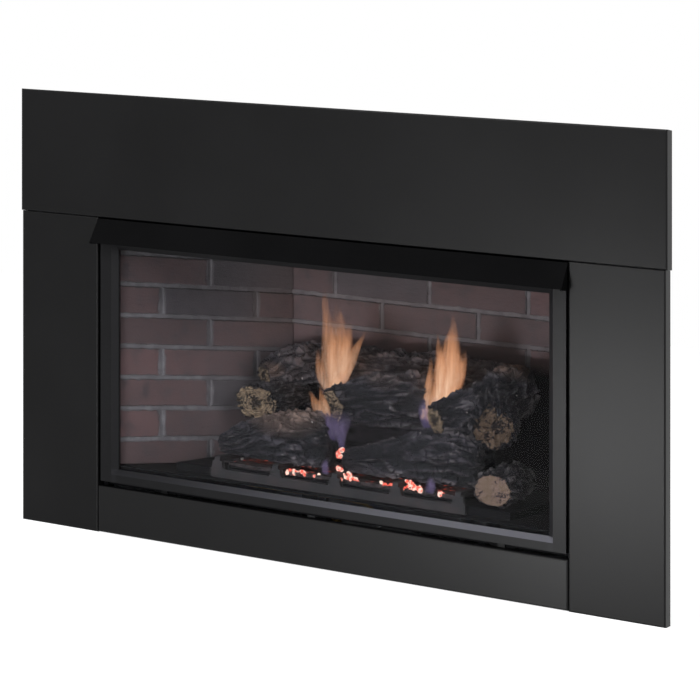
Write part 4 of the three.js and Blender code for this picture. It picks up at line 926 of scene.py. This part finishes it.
def markLimb(limb, values, radius, length, seed):
    # what the finishes read, and how much of the relief each corner gets
    grain, rim = newAttributes(limb, grain="FLOAT_VECTOR", rim="FLOAT")
    rough = limb.vertex_groups.new(name="rough")
    tips = limb.vertex_groups.new(name="ends")
    onEnd = values.get("capRelief", bark["capRelief"])
    for corner, along, edge in zip(limb.data.vertices, grain, rim):
        x, across = corner.co.x, math.hypot(corner.co.y, corner.co.z) / radius
        along.vector = corner.co + Vector((seed * 0.37, 0, 0))
        edge.value = max(0.0, across * 5 - 4)  # the outer fifth of an end
        rough.add([corner.index], onEnd if across < bark["capEdge"] else 1.0, "REPLACE")
        inner = min(x, length - x)
        if inner < bark["endReach"]:
            tips.add([corner.index], 1 - max(inner, 0) / bark["endReach"], "REPLACE")


def barkedLimb(points, values, seed, cuts):
    route, radius, length = logPath(points)
    limb = straightLimb(radius, length, values.get("hollow", 0.0))
    wear(limb, slotFinish["charred_log"], cutFinish[values.get("wood", "pitted")])
    for face in limb.data.polygons:
        end = 0 if face.center.x < length / 2 else 1
        flat = abs(face.normal.x) > bark["endSlope"]
        face.material_index = 1 if flat and end in cuts else 0
    markLimb(limb, values, radius, length, seed)
    before = [(corner.co.copy(), corner.normal.copy()) for corner in limb.data.vertices]
    # each log reads another place of the textures
    plain = guide((seed * 0.61, seed * 0.23, 0))
    long = guide((seed * 0.43, seed * 0.17, 0), bark["longScale"])
    scaly = guide((seed * 0.29, seed * 0.31, 0), bark["plateScale"])
    for texture, strength, helper in (
        (swellTexture, bark["swell"], plain),
        (plateTexture, bark["plates"], scaly),
        (furrowTexture, bark["furrows"], long),
        (chipTexture, bark["chips"], long),
    ):
        modify(
            limb, "DISPLACE", texture=texture, strength=strength, mid_level=0.5,
            vertex_group="rough", texture_coords="OBJECT", texture_coords_object=helper,
        )
    splinter = values.get("splinter", bark["splinter"])
    modify(
        limb, "DISPLACE", texture=splinterTexture, strength=splinter, mid_level=0.5, direction="X",
        vertex_group="ends", texture_coords="OBJECT", texture_coords_object=plain,
    )
    (ridge,) = newAttributes(limb, ridge="FLOAT")
    reach = (bark["plates"] + bark["furrows"]) * 0.8
    for corner, (place, normal), proud in zip(limb.data.vertices, before, ridge):
        proud.value = 0.5 + (corner.co - place).dot(normal) / reach
    limb.scale.z = values.get("flat", 1.0)
    settle(limb)
    modify(limb, "CURVE", object=route, deform_axis="POS_X")
    for helper in (route, plain, long, scaly):
        bpy.data.objects.remove(helper)
    return limb


def makeLog(name, values):
    seed = values["seed"]
    limbs = [barkedLimb(values["paths"][0], values, seed, values["cuts"])]
    if len(values["paths"]) > 1:
        limbs.append(barkedLimb(values["paths"][1], values["stub"], seed + 1, (1,)))
    made = joined("charred" + name.title().replace("_", ""), limbs)
    if "floor" in values:
        startEditing(made)
        bpy.ops.mesh.select_all(action="SELECT")
        level = values["floor"] / 1000
        bpy.ops.mesh.bisect(
            plane_co=(0, 0, level), plane_no=(0, 0, 1), use_fill=True, clear_inner=True,
        )
        leaveEditing()
    (warm,) = newAttributes(made, warm="FLOAT")
    if "warm" in values:
        x, y, z, reach, strength = values["warm"]
        heart = local(x, y, z)
        for corner, point in zip(made.data.vertices, warm):
            away = corner.co - heart
            away.z *= bark["patchHeight"]
            point.value = strength * min(1.0, max(0.0, 1 - away.length / (reach / 1000)) * 2)
    smooth(made, 60)
    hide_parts(name)
    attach(made, "insert")


for name, values in logSet.items():
    makeLog(name, values)
print("logs shaped:", len(logSet))


embers = {
    "size": 0.0037,
    "seed": 41,
    "groups": (  # x from, x to, y, z in millimetres, how many lumps
        (-96, -78, 67, 139, 6),
        (-72, -58, 67, 139, 4),
        (-46, -34, 67, 139, 3),
        (-13, -2, 84, 173, 5),
        (-12, -3, 84, 182, 4),
        (-7, 3, 66, 157, 4),
        (3, 32, 67, 140, 9),
        (6, 22, 70, 147, 4),
        (72, 92, 67, 140, 6),
        (114, 146, 67, 141, 10),
        (116, 134, 70, 148, 4),
        (176, 186, 68, 141, 2),
    ),
}


def makeEmbers(values):
    chance = random.Random(values["seed"])
    lumps = []
    texture = reliefTexture("clinker", "CLOUDS", 0.004)
    for start, end, depth, level, count in values["groups"]:
        for k in range(count):
            x = (start + (end - start) * (k + 0.5) / count) / 1000 + chance.uniform(-0.001, 0.001)
            y = depth / 1000 + backSet + chance.uniform(-0.001, 0.007)
            z = level / 1000 + chance.uniform(-0.003, 0.003)
            size = values["size"] * chance.uniform(0.65, 1.2)
            clearSelection()
            bpy.ops.mesh.primitive_ico_sphere_add(subdivisions=3, radius=size, location=(x, y, z))
            lump = bpy.context.object
            lump.scale = (chance.uniform(0.8, 1.3), chance.uniform(0.7, 1.1), chance.uniform(0.6, 0.9))
            lump.rotation_euler = (chance.uniform(0, 3), chance.uniform(0, 3), chance.uniform(0, 3))
            settle(lump)
            modify(
                lump, "DISPLACE", texture=texture, strength=size * 0.9, mid_level=0.5,
                texture_coords="GLOBAL",
            )
            lumps.append(lump)
    made = joined("glowingEmbers", lumps)
    wear(made, hotCoal)
    smooth(made, 50)
    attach(made, "insert")


makeEmbers(embers)
print("embers laid")

# Each tongue: the way it faces in degrees, then in millimetres the depths of its foot and tip
# and its line from foot to tip as (x, z, half-width).
flames = {
    "flameLeft": (
        (26, (194, 200), (
            (-81, 258, 8), (-79, 286, 17), (-81, 316, 23), (-84, 353, 19), (-88, 390, 13),
            (-92, 420, 9), (-92, 446, 2),
        )),
        (20, (188, 194), ((-69, 266, 10), (-64, 304, 23), (-60, 339, 24), (-60, 369, 15), (-64, 406, 2))),
        (32, (192, 190), ((-58, 278, 11), (-43, 316, 19), (-30, 342, 13), (-20, 360, 7), (-7, 382, 1))),
        (28, (198, 202), ((-88, 264, 8), (-98, 287, 15), (-103, 312, 12), (-107, 342, 2))),
        (24, (206, 212), ((-73, 258, 18), (-69, 315, 36), (-67, 360, 29), (-77, 418, 5))),
        (16, (184, 188), ((-52, 290, 11), (-45, 333, 16), (-41, 364, 10), (-36, 396, 1))),
        (100, (192, 198), ((-78, 262, 12), (-74, 310, 20), (-76, 360, 14), (-80, 400, 2))),
        (22, (180, 184), ((-81, 263, 11), (-62, 281, 17), (-45, 303, 15), (-30, 332, 3))),
        (26, (122, 124), ((-54, 212, 13), (-64, 240, 19), (-74, 258, 11), (-86, 274, 1))),
        (32, (126, 128), ((-50, 218, 11), (-56, 246, 17), (-61, 264, 9), (-66, 282, 1))),
    ),
    "flameRight": (
        (26, (182, 192), (
            (114, 250, 8), (131, 287, 19), (143, 318, 24), (145, 348, 23), (146, 377, 16),
            (148, 401, 8), (148, 426, 1),
        )),
        (20, (188, 194), ((145, 286, 11), (157, 316, 15), (163, 341, 11), (170, 370, 1))),
        (30, (176, 184), ((100, 238, 8), (105, 268, 12), (109, 298, 11), (111, 326, 7), (111, 358, 1))),
        (24, (180, 186), ((109, 235, 9), (113, 262, 13), (120, 290, 15), (129, 326, 11), (132, 366, 2))),
        (24, (180, 184), ((127, 268, 12), (144, 287, 17), (161, 307, 12), (174, 338, 2))),
        (16, (178, 184), ((123, 268, 11), (129, 320, 16), (127, 352, 10), (123, 388, 1))),
        (28, (196, 204), ((112, 248, 14), (132, 305, 37), (138, 352, 30), (144, 405, 6))),
        (104, (184, 194), ((134, 270, 10), (142, 312, 20), (145, 352, 14), (146, 396, 2))),
    ),
    "blueRoots": (
        (26, (92, 84), ((-5, 180, 6), (-8, 200, 12), (-8, 217, 20), (-5, 233, 26), (-4, 252, 22))),
        (18, (88, 82), ((-20, 196, 7), (-24, 214, 13), (-27, 231, 18), (-27, 250, 14))),
        (26, (148, 152), ((119, 229, 9), (116, 248, 16), (114, 264, 15), (114, 284, 6))),
        (20, (60, 62), ((-21, 144, 9), (-22, 158, 9), (-19, 172, 3))),
        (24, (60, 62), ((162, 138, 10), (165, 152, 12), (165, 166, 6))),
    ),
}
# ripple is how far a tongue sways, waves how often
flameShape = {"rows": 46, "columns": 10, "ripple": 0.0022, "waves": 9, "thinnest": 0.6}


def eased(line, t):
    # Catmull-Rom through the line's points
    spans = len(line) - 1
    k = min(int(t * spans), spans - 1)
    u = t * spans - k
    ends = [line[min(max(k + step, 0), spans)] for step in (-1, 0, 1, 2)]
    weights = (
        -0.5 * u + u * u - 0.5 * u ** 3,
        1 - 2.5 * u * u + 1.5 * u ** 3,
        0.5 * u + 2 * u * u - 1.5 * u ** 3,
        -0.5 * u * u + 0.5 * u ** 3,
    )
    return [sum(w * end[axis] for w, end in zip(weights, ends)) for axis in range(3)]


def makeTongue(faces, depths, line, seed):
    rows = flameShape["rows"]
    turn = math.radians(faces)
    right = Vector((math.cos(turn), math.sin(turn), 0))
    back = Vector((-right.y, right.x, 0))
    near, far = depths
    middles = []
    widths = []
    for k in range(rows + 1):
        t = k / rows
        x, z, half = eased(line, t)
        ripple = math.sin(t * flameShape["waves"] + seed * 1.7) * flameShape["ripple"] * (0.3 + t)
        middles.append(local(x, near + (far - near) * t, z) + back * ripple)
        widths.append(max(half, flameShape["thinnest"]) / 1000)
    clearSelection()
    bpy.ops.mesh.primitive_grid_add(x_subdivisions=flameShape["columns"], y_subdivisions=1, size=2.0)
    tongue = bpy.context.object
    tongue.scale = (widths[0], 0.5, 1)
    settle(tongue)
    startEditing(tongue)
    selectWhere(tongue, "VERT", lambda v: v.co.y > 0)
    bpy.ops.mesh.delete(type="VERT")
    bpy.ops.mesh.select_all(action="SELECT")
    bpy.ops.transform.translate(value=(0, 0.5, 0))
    bpy.ops.transform.rotate(value=turn, orient_axis="Z", center_override=(0, 0, 0))
    bpy.ops.transform.translate(value=middles[0])
    for k in range(1, rows + 1):
        step = middles[k] - middles[k - 1]
        bpy.ops.mesh.extrude_region_move(TRANSFORM_OT_translate={"value": step})
        grow = widths[k] / widths[k - 1]
        bpy.ops.transform.resize(value=(grow, grow, 1), center_override=middles[k])
    leaveEditing()
    up, across = newAttributes(tongue, up="FLOAT", across="FLOAT")
    heights = [middle.z for middle in middles]
    for corner, rise, spread in zip(tongue.data.vertices, up, across):
        k = min(range(rows + 1), key=lambda n: abs(heights[n] - corner.co.z))
        rise.value = k / rows
        spread.value = max(-1.0, min(1.0, (corner.co - middles[k]).dot(right) / widths[k]))
    return tongue


for name, tongues in flames.items():
    fire = joined(name, [makeTongue(*tongue, seed) for seed, tongue in enumerate(tongues)])
    wear(fire, fireGas.get(name, blueGas))
    smooth(fire, 180)
    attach(fire, "insert")
print("flames lit:", len(flames))


studio = {
    "floor": 14.0,
    "floorColour": (0.80, 0.80, 0.80),
    "floorLift": 0.60,  # light of its own that the floor shows to the eye
    "sky": 0.5,  # its light on the object; it is seen white
    # the flames' light on the rear wall
    "fires": {
        "colour": (1.0, 0.50, 0.24), "power": 0.30, "radius": 0.03,
        "spread": 155, "softEdge": 0.5, "tilt": 82,
        "places": ((-0.066, -0.02, 0.33), (0.14, -0.03, 0.33)),
    },
    "lamps": {
        "keyLamp": {"place": (-1.2, -3.4, 3.0), "aim": (0, 0, 0.35), "size": (1.6, 1.6), "power": 80},
        "glowLamp": {  # the streak on the surround's right panel
            "place": (-0.060, -1.871, 0.085), "aim": (0.497, -0.228, 0.25),
            "size": (0.3, 0.16), "power": 18,
        },
        "fillLamp": {"place": (2.8, -2.4, 1.6), "aim": (-0.1, 0, 0.3), "size": (1.4, 1.4), "power": 55},
    },
}


def seenRays(board):
    # 1 for what the eye, a reflection or a look through glass meets
    eye, mirror, through = [
        board.node("ShaderNodeLightPath", None, None, kind)
        for kind in ("Is Camera Ray", "Is Glossy Ray", "Is Transmission Ray")
    ]
    return eye.most(mirror).most(through)


def makeFloor(values):
    clearSelection()
    bpy.ops.mesh.primitive_grid_add(x_subdivisions=8, y_subdivisions=8, size=values["floor"])
    floor = bpy.context.object
    floor.name = "studioFloor"
    pale = Finish(
        "studioFloor", Base_Color=values["floorColour"], Roughness=0.9,
        Specular_IOR_Level=0.0, Emission_Strength=1.0,
    )
    pale.feed("Emission Color", pale.blend(seenRays(pale), grey(0.0), grey(values["floorLift"])))
    wear(floor, pale.material)


def makeLamps(values):
    for name, lamp in values["lamps"].items():
        bpy.ops.object.light_add(type="AREA", location=lamp["place"])
        made = bpy.context.object
        made.name = name
        made.data.shape = "RECTANGLE"
        made.data.size, made.data.size_y = lamp["size"]
        made.data.energy = lamp["power"]
        aim = Vector(lamp["aim"]) - Vector(lamp["place"])
        made.rotation_euler = aim.to_track_quat("-Z", "Y").to_euler()
    fires = values["fires"]
    for place in fires["places"]:
        bpy.ops.object.light_add(type="SPOT", location=place)
        made = bpy.context.object
        made.name = "fireLamp"
        made.data.spot_size = math.radians(fires["spread"])
        made.data.spot_blend = fires["softEdge"]
        made.data.shadow_soft_size = fires["radius"]
        made.rotation_euler = (math.radians(fires["tilt"]), 0, 0)
        made.data.color = fires["colour"]
        made.data.energy = fires["power"]


def makeSky(values):
    world = bpy.data.worlds.new("studio")
    bpy.context.scene.world = world
    world.use_nodes = True
    sky = NodeBoard(world.node_tree)
    colour = sky.blend(seenRays(sky), grey(values["sky"]), grey(1.0))
    sky.fill(sky.tree.nodes["Background"].inputs["Color"], colour)


makeFloor(studio)
makeLamps(studio)
makeSky(studio)
bpy.context.scene.view_settings.view_transform = "Standard"
print("studio lit")
